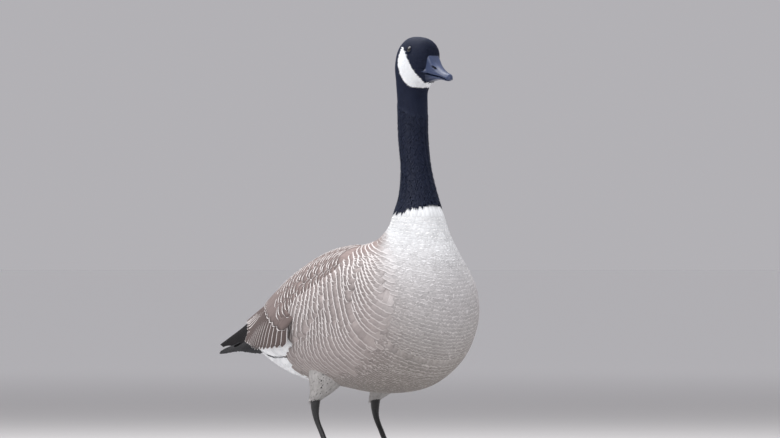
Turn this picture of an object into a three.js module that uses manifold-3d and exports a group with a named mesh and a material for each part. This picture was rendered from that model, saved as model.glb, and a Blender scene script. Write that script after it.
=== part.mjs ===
// A Canada goose, standing still with its head up, modelled life size in millimetres.
// +X is the way it faces, +Y its left and +Z up. The soles stand on z = 0, under the middle of its box.
import * as THREE from "three";
import { LoftGeometry } from "three/addons/geometries/LoftGeometry.js";
import { mergeVertices } from "three/addons/utils/BufferGeometryUtils.js";
import Module from "manifold-3d";

const wasm = await Module();
wasm.setup();

// Driving dimensions.
const GAP = 0.3; // between neighbouring pieces
const HEAD_TURN = THREE.MathUtils.degToRad(4); // to the bird's left
const TURN_AXIS_X = -16; // the upright axis that the head turns about
const TURN_TOP = 640;
const TURN_FOOT = 440;
const EYE = { x: 0, y: 23, z: 671, radius: 6.2, inset: 3.4, lid: 1.4, rim: 0.7, opening: 4.6, tilt: 74 };
const GAPE = { x: 22, y: 15, z: 634, long: 18, wide: 6, high: 0.9, tilt: 13 };
const NOSTRIL = { x: 44, y: 9.6, z: 642, long: 5.2, high: 1.9, deep: 3.4, slope: 0.62 };
const LEG = { ankleX: -186, ankleZ: 98, footX: -149, footTop: 13.2, apart: 56, stagger: 9 };
const SHANK = { radius: 4.7, ankle: 7.2 };
const TOE = { inner: 60, middle: 80, outer: 74, radius: 5.0, spread: 0.47, taper: 0.34, arch: 2.6 };
const KNUCKLE = 0.12;
const HIND_TOE = { length: 13, slim: 0.75, tilt: -14, turn: 150, at: [-4, 3, 6] };
const HEEL = { radius: 7, high: 6.4 };
const WEB = { thick: 1.3, high: 1.6, from: 0.1, reach: 0.93, dip: 0.2, rise: 3.2, sag: 0.8 };
const CLAW = { length: 9, radius: 2.5, point: 0.25, high: 3.3, drop: 2.6 };
const SLIVER = 0.08; // edges shorter than this are closed up
const VANE = { thick: 1.5, shaft: 0.5, sunk: 1.6, rings: 4 };
const WING_BOW = 0.65; // from a straight slope at 0 to a quarter of an ellipse at 1
const WING_CORE = { from: 0.004, to: 0.77, back: 0.17, thick: 11, edge: 3 };

// The bird's outline in side view, from the face over the head and down the neck to the tail's root. Each row
// is one cut across it: its ends on the outline of the back and of the front (x, z), its half width, how far
// from the front to the back it is widest, and its squareness, where 2 is an ellipse.
const BODY_OUTLINE = [
  { back: [33, 663], front: [22, 617.5], half: 13.6, wide: 0.45, square: 2.9 }, // face
  { back: [31, 675.5], front: [16, 614.5], half: 19.5, wide: 0.5, square: 2.6 }, // brow
  { back: [20, 687], front: [10, 611], half: 24, wide: 0.52, square: 2.5 },
  { back: [2, 692], front: [7, 606], half: 25.6, wide: 0.5, square: 2.4 }, // crown
  { back: [-18, 691], front: [6, 602], half: 26.4, wide: 0.44, square: 2.3 },
  { back: [-36, 679], front: [5.5, 598], half: 26.6, wide: 0.42, square: 2.15 }, // hind crown
  { back: [-45, 656], front: [6.5, 592], half: 26.2, wide: 0.45, square: 2 }, // nape
  { back: [-43, 628], front: [8, 584], half: 25, wide: 0.5, square: 2 },
  { back: [-40.5, 594], front: [9, 570], half: 24, wide: 0.5, square: 2 }, // top of the neck
  { back: [-38, 534], front: [9.5, 530], half: 23.7, wide: 0.5, square: 2 },
  { back: [-31, 470], front: [20, 470], half: 25, wide: 0.5, square: 2 }, // foot of the neck
  { back: [-34, 432], front: [32, 432], half: 32, wide: 0.5, square: 2 },
  { back: [-43, 408], front: [42, 405], half: 39.5, wide: 0.5, square: 2 }, // the white breast begins
  { back: [-55, 385], front: [58, 366], half: 48, wide: 0.5, square: 2 },
  { back: [-76, 367], front: [76, 328], half: 66, wide: 0.5, square: 2 }, // shoulders
  { back: [-102, 359], front: [89, 284], half: 91, wide: 0.5, square: 2.05 },
  { back: [-130, 356], front: [90, 234], half: 109, wide: 0.5, square: 2.05 }, // fullest breast
  { back: [-164, 350], front: [66, 176], half: 117, wide: 0.5, square: 2.1 },
  { back: [-202, 339], front: [6, 130], half: 119, wide: 0.49, square: 2.08 },
  { back: [-244, 322], front: [-72, 117], half: 116, wide: 0.48, square: 2.05 }, // belly
  { back: [-286, 298], front: [-158, 125], half: 106, wide: 0.46, square: 2.02 },
  { back: [-326, 271], front: [-266, 140], half: 84, wide: 0.44, square: 1.95 }, // vent
  { back: [-362, 248], front: [-340, 171], half: 60, wide: 0.42, square: 1.9 },
  { back: [-392, 234], front: [-388, 204], half: 36, wide: 0.5, square: 2 }, // root of the tail
];

// The folded right wing's outer face: each row is one cut across it, from its upper edge on the back to its
// lower edge on the flank (x, y, z, with y as the distance out from the middle), bowed outward between them.
const WING_OUTLINE = [
  { upper: [-70, 70, 343], lower: [-62, 85, 330] }, // shoulder
  { upper: [-92, 48, 352], lower: [-76, 103, 313] },
  { upper: [-130, 31, 354], lower: [-111, 114, 289] },
  { upper: [-190, 21, 346], lower: [-172, 121, 257] },
  { upper: [-250, 16, 324], lower: [-237, 116, 229] },
  { upper: [-305, 13, 295], lower: [-297, 95, 204] },
  { upper: [-352, 12, 267], lower: [-346, 68, 192] }, // over the rump
  { upper: [-396, 12, 243], lower: [-390, 48, 190] },
  { upper: [-436, 9, 222], lower: [-432, 33, 188] }, // over the tail
  { upper: [-474, 7, 204], lower: [-472, 22, 186] }, // wing tip
];

const UPPER_BILL_OUTLINE = [
  { back: [32.9, 662], front: [26.1, 634], half: 13, wide: 0.3, square: 3.2 },
  { back: [42, 650], front: [37, 630.8], half: 12.6, wide: 0.24, square: 2.8 },
  { back: [52, 640.5], front: [49.5, 628.2], half: 11.4, wide: 0.2, square: 2.6 },
  { back: [61, 634.4], front: [60, 625.8], half: 9.8, wide: 0.2, square: 2.5 },
  { back: [68, 631.5], front: [67.3, 623.2], half: 8, wide: 0.2, square: 2.4 },
  { back: [72.3, 628.6], front: [71.4, 620.8], half: 5.4, wide: 0.3, square: 2.4 },
  { back: [74, 625.4], front: [73.4, 622], half: 2.2, wide: 0.5, square: 2 },
];

const LOWER_BILL_OUTLINE = [
  { back: [26, 633.5], front: [22.4, 618.4], half: 12, wide: 0.75, square: 2.5 },
  { back: [36, 630.6], front: [35, 620.8], half: 11.2, wide: 0.75, square: 2.4 },
  { back: [49, 627.8], front: [48.4, 622.6], half: 9.6, wide: 0.75, square: 2.3 },
  { back: [59.5, 625.3], front: [59.2, 621.4], half: 7.8, wide: 0.7, square: 2.3 },
  { back: [66.5, 622.8], front: [66.3, 620], half: 5.6, wide: 0.6, square: 2.2 },
  { back: [69.5, 621.2], front: [69.3, 619.8], half: 3, wide: 0.5, square: 2 },
];

const TAIL = {
  root: [-382, 229],
  droop: THREE.MathUtils.degToRad(22),
  length: 84,
  feathers: 12,
  width: 22,
  fan: THREE.MathUtils.degToRad(8),
  half: 21,
  roof: 0.3,
  sag: 0.0009,
  taper: 0.12,
  lift: 3.4,
  dip: 4.6,
  blunt: 0.82,
  block: { long: 22, wide: 29, high: 9, ahead: 4, down: 3 },
};

// The wing's tiers of feathers, each from its uppermost feather to its lowest: where their roots and tips are,
// as shares [along, across] the wing, and their width. The lift is how proud the lowest one stands.
const PRIMARIES = { count: 5, width: [22, 19], lift: -0.4, blunt: 0.6 };
const SECONDARIES = { count: 6, width: [26, 22], lift: 1 };
const TERTIALS = { count: 3, width: [40, 34], lift: 1.6 };
const GREATER_COVERTS = { count: 5, width: [30, 24], lift: 1.9 };
const MEDIAN_COVERTS = { count: 5, width: [28, 22], lift: 2.5 };
const WING_TIERS = [
  { ...PRIMARIES, root: [[0.66, 0.25], [0.6, 0.78]], tip: [[1.0, 0.22], [0.86, 0.74]] },
  { ...SECONDARIES, root: [[0.48, 0.42], [0.38, 0.95]], tip: [[0.84, 0.45], [0.64, 0.98]] },
  { ...TERTIALS, root: [[0.5, 0.12], [0.48, 0.42]], tip: [[0.87, 0.16], [0.8, 0.48]] },
  { ...GREATER_COVERTS, root: [[0.36, 0.45], [0.26, 0.94]], tip: [[0.6, 0.48], [0.46, 0.97]] },
  { ...MEDIAN_COVERTS, root: [[0.2, 0.45], [0.13, 0.94]], tip: [[0.42, 0.48], [0.32, 0.97]] },
];
// Rows of scapulars lie over them at the upper edge, each further back than the last by the steps.
const SCAPULARS = { rows: 3, count: 3, width: [44, 38], lift: 3.4, sink: 0.4, roll: 0.09 };
const SCAPULAR_ROOT = { upper: [0.05, 0.1], lower: [0.05, 0.42], steps: [0.15, 0.14] };
const SCAPULAR_TIP = { upper: [0.31, 0.13], lower: [0.27, 0.46], steps: [0.18, 0.17] };

const COLOURS = {
  black: 0x17171d,
  white: 0xefece4,
  cream: 0xcfc6b8,
  brown: 0x8b7664,
  dark: 0x2a2422,
  bill: 0x2c3140,
  leg: 0x2b2a2e,
  eye: 0x140d0b,
};

// A curve through rows of numbers, with knots as far apart as the rows' middles are, in millimetres.
class Rail {
  constructor(rows, middles) {
    this.rows = rows;
    this.knots = [0];
    for (let i = 1; i < rows.length; i++)
      this.knots.push(this.knots[i - 1] + middles[i].distanceTo(middles[i - 1]));
    this.length = this.knots.at(-1);
  }

  at(s) {
    const { rows, knots } = this;
    const last = rows.length - 1;
    const i = Math.min(Math.max(knots.findIndex((k) => k > s) - 1, 0), last - 1);
    const j = s >= this.length ? last - 1 : i;
    const span = knots[j + 1] - knots[j];
    const t = (s - knots[j]) / span;
    const slope = (k, n) => {
      if (k === 0) return (rows[1][n] - rows[0][n]) / (knots[1] - knots[0]);
      if (k === last) return (rows[last][n] - rows[last - 1][n]) / (knots[last] - knots[last - 1]);
      const before = (rows[k][n] - rows[k - 1][n]) / (knots[k] - knots[k - 1]);
      const after = (rows[k + 1][n] - rows[k][n]) / (knots[k + 1] - knots[k]);
      const share = (knots[k] - knots[k - 1]) / (knots[k + 1] - knots[k - 1]);
      return before * (1 - share) + after * share;
    };
    return rows[j].map((value, n) => {
      const rise = t * t * (3 - 2 * t);
      const inSlope = t * (1 - t) * (1 - t) * span * slope(j, n);
      const outSlope = -t * t * (1 - t) * span * slope(j + 1, n);
      return value * (1 - rise) + rows[j + 1][n] * rise + inSlope + outSlope;
    });
  }
}

// A rounded body through cuts that stand square to the XZ plane.
class Body {
  constructor(outline) {
    const rows = outline.map((c) => [...c.back, ...c.front, c.half, c.wide, c.square]);
    const middles = rows.map((r) => new THREE.Vector2((r[0] + r[2]) / 2, (r[1] + r[3]) / 2));
    this.rail = new Rail(rows, middles);
    this.length = this.rail.length;
  }

  // The surface point at a distance along the body and an angle round it from the back, towards +Y.
  point(s, angle, lift = 0) {
    const [bx, bz, fx, fz, half, wide, square] = this.rail.at(s);
    const power = (v) => Math.sign(v) * Math.abs(v) ** (2 / square);
    const up = power(Math.cos(angle));
    const reach = up > 0 ? up * (1 - wide) : up * wide;
    const across = new THREE.Vector2(bx - fx, bz - fz);
    const middle = new THREE.Vector2(fx, fz).addScaledVector(across, wide + reach);
    middle.addScaledVector(across.normalize(), lift * up);
    return new THREE.Vector3(middle.x, (half + lift) * power(Math.sin(angle)), middle.y);
  }

  ring(s, sides, lift = 0, bend = (p) => p) {
    return Array.from({ length: sides }, (_, i) => bend(this.point(s, (i / sides) * 2 * Math.PI, lift)));
  }

  // The closed length from one distance to another.
  piece(from, to, rings, sides, lift = 0, bend = (p) => p) {
    const steps = Array.from({ length: rings + 1 }, (_, i) => from + ((to - from) * i) / rings);
    return lofted(steps.map((s) => this.ring(s, sides, lift, bend)));
  }
}

// Turns the head and upper neck a little to the bird's left, easing in up the neck.
function turnHead(p) {
  const share = THREE.MathUtils.smoothstep(p.z, TURN_FOOT, TURN_TOP);
  const axis = new THREE.Vector3(TURN_AXIS_X, 0, 0);
  return p.clone().sub(axis).applyAxisAngle(new THREE.Vector3(0, 0, 1), HEAD_TURN * share).add(axis);
}

// The folded wing's outer face, from 0 at the shoulder to 1 at the tip, and from 0 at its upper edge to 1.
class Wing {
  constructor(outline) {
    const rows = outline.map((c) => [...c.upper, ...c.lower]);
    const middles = rows.map((r) => new THREE.Vector2((r[0] + r[3]) / 2, (r[2] + r[5]) / 2));
    this.rail = new Rail(rows, middles);
    this.length = this.rail.length;
  }

  surface(along, across) {
    const [ux, uy, uz, lx, ly, lz] = this.rail.at(along * this.length);
    const angle = (across * Math.PI) / 2;
    const out = THREE.MathUtils.lerp(across, Math.sin(angle), WING_BOW);
    const up = THREE.MathUtils.lerp(1 - across, Math.cos(angle), WING_BOW);
    return new THREE.Vector3(ux + (lx - ux) * across, -uy - (ly - uy) * out, lz + (uz - lz) * up);
  }

  normal(along, across) {
    const step = 0.004;
    const back = this.surface(along + step, across).sub(this.surface(along - step, across));
    const down = this.surface(along, across + step).sub(this.surface(along, across - step));
    return back.cross(down).normalize();
  }

  point(along, across, lift) {
    return this.surface(along, across).addScaledVector(this.normal(along, across), lift);
  }

  widthAt(along, across) {
    const step = 0.01;
    const lower = this.surface(along, across + step);
    return lower.distanceTo(this.surface(along, across - step)) / (2 * step);
  }
}

// A closed manifold solid from any closed geometry.
function solid(geometry) {
  const bare = new THREE.BufferGeometry();
  bare.setAttribute("position", geometry.attributes.position);
  bare.setIndex(geometry.index);
  const merged = mergeVertices(bare, 1e-3);
  const { array } = merged.attributes.position;
  const made = new wasm.Manifold(
    new wasm.Mesh({ numProp: 3, vertProperties: array, triVerts: new Uint32Array(merged.index.array) }),
  );
  return made.volume() < 0 ? solid(flipped(merged)) : made;
}

function lofted(sections) {
  return solid(new LoftGeometry(sections, { capStart: true, capEnd: true }));
}

function flipped(geometry) {
  const turned = geometry.clone();
  const { array } = turned.index;
  for (let i = 0; i < array.length; i += 3) [array[i], array[i + 1]] = [array[i + 1], array[i]];
  return turned;
}

// One closed surface: the largest, so that a sealed hollow is filled and a loose scrap is dropped.
function largest(made) {
  return made.decompose().reduce((a, b) => (b.volume() > a.volume() ? b : a));
}

function joined(parts) {
  return largest(wasm.Manifold.union(parts));
}

function mirrored(made) {
  return made.mirror([0, 1, 0]);
}

// A closed slab between two like grids of points, with the same triangles on both faces.
function slab(outer, inner) {
  const rows = outer.length;
  const columns = outer[0].length;
  const points = [...outer.flat(), ...inner.flat()].flatMap((p) => [p.x, p.y, p.z]);
  const at = (i, j, face) => face * rows * columns + i * columns + j;
  const index = [];
  const quad = (a, b, c, d) => index.push(a, b, c, a, c, d);
  for (let i = 0; i + 1 < rows; i++)
    for (let j = 0; j + 1 < columns; j++) {
      quad(at(i, j, 0), at(i + 1, j, 0), at(i + 1, j + 1, 0), at(i, j + 1, 0));
      const [a, b, c, d] = [at(i, j, 1), at(i + 1, j, 1), at(i + 1, j + 1, 1), at(i, j + 1, 1)];
      index.push(a, c, b, a, d, c);
    }
  const rim = [];
  for (let j = 0; j < columns; j++) rim.push([0, j]);
  for (let i = 1; i < rows; i++) rim.push([i, columns - 1]);
  for (let j = columns - 2; j >= 0; j--) rim.push([rows - 1, j]);
  for (let i = rows - 2; i > 0; i--) rim.push([i, 0]);
  rim.forEach(([i, j], n) => {
    const [k, l] = rim[(n + 1) % rim.length];
    quad(at(i, j, 0), at(k, l, 0), at(k, l, 1), at(i, j, 1));
  });
  const geometry = new THREE.BufferGeometry();
  geometry.setAttribute("position", new THREE.Float32BufferAttribute(points, 3));
  geometry.setIndex(index);
  return solid(geometry);
}

function span(count, from, to) {
  return Array.from({ length: count }, (_, i) => from + ((to - from) * i) / (count - 1));
}

// A feather's half width along its length, from 0 at the root to 1 at the tip, as a share of its fullest.
function vaneHalf(share, blunt) {
  const root = THREE.MathUtils.smoothstep(share, -0.25, 0.35);
  const tip = Math.sqrt(Math.max(1 - Math.max((share - blunt) / (1 - blunt), 0) ** 2, 0.05));
  return root * tip;
}

// One feather that lies on a wing's face from a root to a tip, each [along, across], rising out of the wing.
// Its underside stays sunk in the slab that carries it, and beyond the slab it is a thin blade.
function wingVane(wing, { root, tip, width, lift, blunt = 0.72, roll = 0 }) {
  const shares = span(VANE.rings, 0, 1).map((s) => 1 - (1 - s) ** 1.25);
  const grids = [0, 1].map((under) =>
    shares.map((share) => {
      const along = root[0] + (tip[0] - root[0]) * share;
      const across = root[1] + (tip[1] - root[1]) * share;
      const half = ((width / 2) * vaneHalf(share, blunt)) / wing.widthAt(along, across);
      const crest = lift * (1 - 0.2 * THREE.MathUtils.smoothstep(share, 0.6, 1));
      const rise = -VANE.sunk + (crest + VANE.sunk) * THREE.MathUtils.smoothstep(share, 0, 0.4);
      const overCore = along < WING_CORE.to - WING_CORE.back * across ** 2;
      return [-1, 0, 1].map((side) => {
        const shaft = (1 - Math.abs(side)) * VANE.shaft;
        const top = rise + shaft - side * roll * width * 0.5 * share;
        const where = THREE.MathUtils.clamp(across + side * half, -0.04, 1.1);
        return wing.point(along, where, under ? (overCore ? -VANE.sunk - 1 : top - VANE.thick) : top);
      });
    }),
  );
  return slab(grids[0], grids[1]);
}

// A tier of feathers side by side, each laid a little over the next one down.
function tier(wing, { count, root, tip, width, lift, layer = 0.3, blunt, roll = 0.05 }) {
  return Array.from({ length: count }, (_, i) => {
    const share = i / (count - 1);
    const mix = (a, b) => a + (b - a) * share;
    return wingVane(wing, {
      root: [mix(root[0][0], root[1][0]), mix(root[0][1], root[1][1])],
      tip: [mix(tip[0][0], tip[1][0]), mix(tip[0][1], tip[1][1])],
      width: mix(width[0], width[1]),
      lift: lift + (count - 1 - i) * layer,
      blunt,
      roll,
    });
  });
}

// The slab that carries the wing's feathers, or, when grown, the room that it takes out of the body.
function wingCore(wing, grow = 0) {
  const rows = span(12, 0, 1);
  const columns = span(7, 0, 1);
  const { from, to, back, thick, edge } = WING_CORE;
  const along = (row, across) => from + (to - back * across ** 2 - from) * row;
  const outer = rows.map((row) => columns.map((b) => wing.point(along(row, b), b, grow ? 40 : 0)));
  const inner = rows.map((row) =>
    columns.map((b) => {
      const swell = (Math.sin(Math.PI * b) * Math.sin(Math.PI * row)) ** 0.5;
      return wing.point(along(row, b), b, -edge - (thick - edge) * swell - grow);
    }),
  );
  return slab(outer, inner);
}

function scapulars(wing) {
  const moved = ([along, across], step, row) => [along + step * row, across];
  const row = (n) => {
    const ends = ({ upper, lower, steps }) => [moved(upper, steps[0], n), moved(lower, steps[1], n)];
    const { count, width, roll } = SCAPULARS;
    const lift = SCAPULARS.lift - n * SCAPULARS.sink;
    return tier(wing, { count, root: ends(SCAPULAR_ROOT), tip: ends(SCAPULAR_TIP), width, lift, roll });
  };
  return Array.from({ length: SCAPULARS.rows }, (_, n) => row(n)).flat();
}

function rightWing(wing) {
  return joined([wingCore(wing), ...WING_TIERS.flatMap((t) => tier(wing, t)), ...scapulars(wing)]);
}

// A flat feather of the tail, on a plane that slopes down to the rear.
function tailVane(side) {
  const { root, droop, fan, half, roof, sag, blunt } = TAIL;
  const length = TAIL.length * (1 - TAIL.taper * Math.abs(side));
  const turn = fan * side;
  const lift = TAIL.lift - TAIL.dip * Math.abs(side);
  const grids = [0, -VANE.thick].map((depth) =>
    span(5, 0, 1).map((s) => {
      const share = 1 - (1 - s) ** 1.3;
      const across = (TAIL.width / 2) * vaneHalf(share, blunt);
      return [-1, 0, 1].map((edge) => {
        const forward = share * length;
        const out = side * half + Math.sin(turn) * forward + edge * across;
        const back = Math.cos(turn) * forward;
        const shaft = (1 - Math.abs(edge)) * VANE.shaft;
        const drop = roof * Math.abs(out) + sag * forward * forward;
        const down = Math.sin(droop) * back + drop - lift - shaft - depth;
        return new THREE.Vector3(root[0] - Math.cos(droop) * back, out, root[1] - down);
      });
    }),
  );
  return slab(grids[0], grids[1]);
}

function tailFeathers() {
  const vanes = span(TAIL.feathers, -1, 1).map((side) => tailVane(side));
  const { long, wide, high, ahead, down } = TAIL.block;
  const block = new THREE.SphereGeometry(1, 16, 10);
  block.scale(long, wide, high);
  block.rotateY(-TAIL.droop);
  block.translate(TAIL.root[0] - ahead, 0, TAIL.root[1] - down);
  return joined([solid(block), ...vanes]);
}

// An upright limb through level ovals, from its lowest to its highest.
function limb(path, sides, x) {
  const sections = path.map(({ at, long, wide }) =>
    Array.from({ length: sides }, (_, i) => {
      const angle = (i / sides) * 2 * Math.PI;
      return new THREE.Vector3(at[0] + x + Math.cos(angle) * long, Math.sin(angle) * wide, at[1]);
    }),
  );
  return lofted(sections);
}

// The bare lower leg, from over the foot to the ankle.
function shank(x) {
  const middleX = (LEG.ankleX + LEG.footX) / 2;
  const path = [
    { at: [LEG.footX + 1, LEG.footTop], long: 6.8, wide: 5.2 },
    { at: [LEG.footX - 1, 20], long: 5.8, wide: 4.5 },
    { at: [middleX, LEG.ankleZ / 2], long: SHANK.radius * 1.15, wide: SHANK.radius * 0.88 },
    { at: [LEG.ankleX + 1, LEG.ankleZ - 16], long: 6.4, wide: 5 },
    { at: [LEG.ankleX, LEG.ankleZ - 2], long: SHANK.ankle * 1.15, wide: SHANK.ankle * 0.9 },
    { at: [LEG.ankleX + 2, LEG.ankleZ + 8], long: 8.6, wide: 6.8 },
  ];
  return limb(path, 12, x);
}

function roundSection(radius, middle) {
  return Array.from({ length: 8 }, (_, i) => {
    const angle = ((i + 0.5) / 8) * 2 * Math.PI;
    return new THREE.Vector3(0, Math.cos(angle) * radius, Math.sin(angle) * radius).add(middle);
  });
}

// One toe: a tube along a path with a swelling at each joint.
function toe(length, turn, joints) {
  const rings = joints * 2 + 1;
  const sections = span(rings, 0, 1).map((share) => {
    const knuckle = 1 + KNUCKLE * Math.cos(share * joints * 2 * Math.PI);
    const radius = TOE.radius * (1 - TOE.taper * share) * knuckle;
    const rise = TOE.arch * (1 - share) ** 2;
    return roundSection(radius, new THREE.Vector3(share * length, 0, radius * 0.76 + rise));
  });
  return lofted(sections).rotate([0, 0, turn]);
}

function claw(length, turn) {
  const sections = span(4, 0, 1).map((share) => {
    const radius = CLAW.radius * (1 - share) ** 0.7 + CLAW.point;
    const along = length + GAP + share * CLAW.length;
    return roundSection(radius, new THREE.Vector3(along, 0, CLAW.high - CLAW.drop * share * share));
  });
  return lofted(sections).rotate([0, 0, turn]);
}

// The skin between two toes, its free edge drawn back in a shallow curve.
function web(first, second) {
  const reach = (toe, share) => {
    const length = toe.length * WEB.reach * share;
    return new THREE.Vector3(Math.cos(toe.angle) * length, Math.sin(toe.angle) * length, 0);
  };
  const rows = span(4, WEB.from, 1);
  const grid = (height) =>
    rows.map((share) =>
      span(5, 0, 1).map((across) => {
        const dip = 1 - WEB.dip * share * Math.sin(Math.PI * across);
        const p = reach(first, share).lerp(reach(second, share), across).multiplyScalar(dip);
        return p.setZ(height + WEB.rise * (1 - share) ** 2 + WEB.sag * Math.abs(across - 0.5));
      }),
    );
  return slab(grid(WEB.high + WEB.thick), grid(WEB.high));
}

function footParts() {
  const toes = [
    { name: "inner", length: TOE.inner, angle: TOE.spread, joints: 2 },
    { name: "middle", length: TOE.middle, angle: 0, joints: 3 },
    { name: "outer", length: TOE.outer, angle: -TOE.spread * 0.95, joints: 4 },
  ];
  const degrees = THREE.MathUtils.radToDeg;
  const heel = solid(new THREE.SphereGeometry(HEEL.radius, 10, 6)).translate([0, 0, HEEL.high]);
  const hind = toe(HIND_TOE.length, 0, 1)
    .scale([1, HIND_TOE.slim, HIND_TOE.slim])
    .rotate([0, HIND_TOE.tilt, 0])
    .rotate([0, 0, HIND_TOE.turn])
    .translate(HIND_TOE.at);
  const floor = solid(new THREE.BoxGeometry(300, 300, 20)).translate([0, 0, -10]);
  const top = solid(new THREE.BoxGeometry(60, 60, 40)).translate([0, 0, LEG.footTop - GAP + 20]);
  const foot = joined([
    heel,
    hind,
    ...toes.map((t) => toe(t.length, degrees(t.angle), t.joints)),
    web(toes[0], toes[1]),
    web(toes[1], toes[2]),
  ]);
  return {
    foot: largest(foot.subtract(floor).subtract(top)),
    claws: toes.map((t) => ({ name: t.name, made: claw(t.length, degrees(t.angle)).subtract(floor) })),
  };
}

// The feathered upper leg, a cone that leaves the belly and ends at the ankle.
function thigh(x) {
  const path = [
    { at: [LEG.ankleX + 2, LEG.ankleZ + 8 + GAP], long: 12, wide: 10.5 },
    { at: [-168, 120], long: 22, wide: 18 },
    { at: [-152, 142], long: 36, wide: 29 },
    { at: [-138, 178], long: 44, wide: 34 },
  ];
  return limb(path, 18, x);
}

const body = new Body(BODY_OUTLINE);
const wing = new Wing(WING_OUTLINE);
const upperBill = new Body(UPPER_BILL_OUTLINE);
const lowerBill = new Body(LOWER_BILL_OUTLINE);

// Where the body is parted, as shares of its length from the face to the root of the tail.
const knot = (n) => body.rail.knots[n];
const NECK_TOP = knot(8);
const NECK_MIDDLE = (knot(9) + knot(10)) / 2;
const COLLAR = knot(12);
const BREAST_END = knot(17);
const TORSO_END = knot(20);
const nodes = new Map();

function headParts() {
  const skull = body.piece(0, NECK_TOP - GAP, 16, 22);
  const cheekEye = [-1, 1].map((side) => ({ side, at: [EYE.x, side * EYE.y, EYE.z] }));
  const lids = cheekEye.map(({ side, at }) =>
    solid(new THREE.TorusGeometry(EYE.opening + EYE.rim, EYE.lid, 6, 14))
      .rotate([-side * EYE.tilt, 0, 0])
      .translate(at),
  );
  const centre = ({ side, at }) => [at[0], at[1] - side * EYE.inset, at[2]];
  const ball = (radius) => solid(new THREE.SphereGeometry(radius, 12, 9)).rotate([90, 0, 0]);
  const sockets = cheekEye.map((eye) => ball(EYE.radius + GAP).translate(centre(eye)));
  const gapes = [-1, 1].map((side) =>
    solid(new THREE.BoxGeometry(GAPE.long, GAPE.wide, GAPE.high))
      .rotate([0, GAPE.tilt, 0])
      .translate([GAPE.x, side * GAPE.y, GAPE.z]),
  );
  const head = joined([skull, ...lids]).subtract(wasm.Manifold.union([...sockets, ...gapes]));
  const eyes = cheekEye.map((eye) => ({
    name: eye.side < 0 ? "right" : "left",
    made: ball(EYE.radius).translate(centre(eye)),
  }));
  return { head: largest(head), eyes };
}

function bend(made) {
  return made.warp((v) => {
    const p = turnHead(new THREE.Vector3(v[0], v[1], v[2]));
    [v[0], v[1], v[2]] = [p.x, p.y, p.z];
  });
}

function billParts() {
  const upper = upperBill.piece(upperBill.length, GAP, 9, 18);
  const nostrils = [-1, 1].map((side) => {
    const pit = new THREE.SphereGeometry(1, 14, 8);
    pit.scale(NOSTRIL.long, NOSTRIL.deep, NOSTRIL.high);
    pit.rotateY(NOSTRIL.slope);
    return solid(pit).translate([NOSTRIL.x, side * NOSTRIL.y, NOSTRIL.z]);
  });
  return {
    upper: largest(upper.subtract(wasm.Manifold.union(nostrils))),
    lower: lowerBill.piece(lowerBill.length, GAP, 9, 16),
  };
}

const rightCore = wingCore(wing, 2 * GAP);
const bothRooms = wasm.Manifold.union([rightCore, mirrored(rightCore)]);
const { head, eyes } = headParts();
const bill = billParts();
nodes.set("head", [bend(head), COLOURS.black]);
eyes.forEach(({ name, made }) => nodes.set(`eye_${name}`, [bend(made), COLOURS.eye]));
nodes.set("bill_upper", [bend(bill.upper), COLOURS.bill]);
nodes.set("bill_lower", [bend(bill.lower), COLOURS.bill]);
nodes.set("neck_upper", [body.piece(NECK_TOP, NECK_MIDDLE - GAP, 5, 22, 0, turnHead), COLOURS.black]);
nodes.set("neck_lower", [body.piece(NECK_MIDDLE, COLLAR - GAP, 6, 22, 0, turnHead), COLOURS.black]);
const trunk = [
  { from: COLLAR, to: BREAST_END, rings: 13 },
  { from: BREAST_END, to: TORSO_END, rings: 8 },
  { from: TORSO_END, to: body.length + GAP, rings: 9 },
];
const BODY_SIDES = 30;
const [breast, torso, rump] = trunk.map((t) => body.piece(t.from, t.to - GAP, t.rings, BODY_SIDES));
nodes.set("breast", [largest(breast.subtract(bothRooms)), COLOURS.cream]);
nodes.set("torso", [largest(torso.subtract(bothRooms)), COLOURS.brown]);

const grownBody = wasm.Manifold.union(
  trunk.map((t) => body.piece(t.from, t.to, t.rings, BODY_SIDES, 2 * GAP)),
);
const tail = tailFeathers();
const roomOverTail = [GAP, 3, 6].map((up) => tail.translate([0, 0, up]));
const feathers = rightWing(wing);
const rightWingSolid = largest(
  feathers.subtract(wasm.Manifold.union([grownBody.subtract(bothRooms), tail, ...roomOverTail])),
);
nodes.set("wing_right", [rightWingSolid, COLOURS.brown]);
nodes.set("wing_left", [mirrored(rightWingSolid), COLOURS.brown]);

nodes.set("tail", [tail, COLOURS.dark]);
nodes.set("rump", [largest(rump.subtract(bothRooms).subtract(tail)), COLOURS.white]);

const { foot, claws } = footParts();
const legs = [
  { side: "right", sign: -1, ahead: -LEG.stagger },
  { side: "left", sign: 1, ahead: LEG.stagger },
];
for (const { side, sign, ahead } of legs) {
  const out = [0, sign * LEG.apart, 0];
  const placed = (made) => (sign < 0 ? made : mirrored(made));
  const upper = thigh(ahead).translate(out);
  nodes.set(`thigh_${side}`, [largest(upper.subtract(grownBody)), COLOURS.brown]);
  nodes.set(`shank_${side}`, [shank(ahead).translate(out), COLOURS.leg]);
  const toFoot = [LEG.footX + 1 + ahead, sign * LEG.apart, 0];
  nodes.set(`foot_${side}`, [placed(foot).translate(toFoot), COLOURS.leg]);
  for (const { name, made } of claws)
    nodes.set(`claw_${name}_${side}`, [placed(made).translate(toFoot), COLOURS.dark]);
}

const goose = new THREE.Group();
for (const [name, [made, color]] of nodes) {
  const { vertProperties, triVerts } = largest(made.simplify(SLIVER)).getMesh();
  const geometry = new THREE.BufferGeometry();
  geometry.setAttribute("position", new THREE.BufferAttribute(vertProperties, 3));
  geometry.setIndex(new THREE.BufferAttribute(triVerts, 1));
  const material = new THREE.MeshStandardMaterial({ color, roughness: 0.8, metalness: 0 });
  const mesh = new THREE.Mesh(geometry, material);
  mesh.name = name;
  goose.add(mesh);
}

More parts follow.
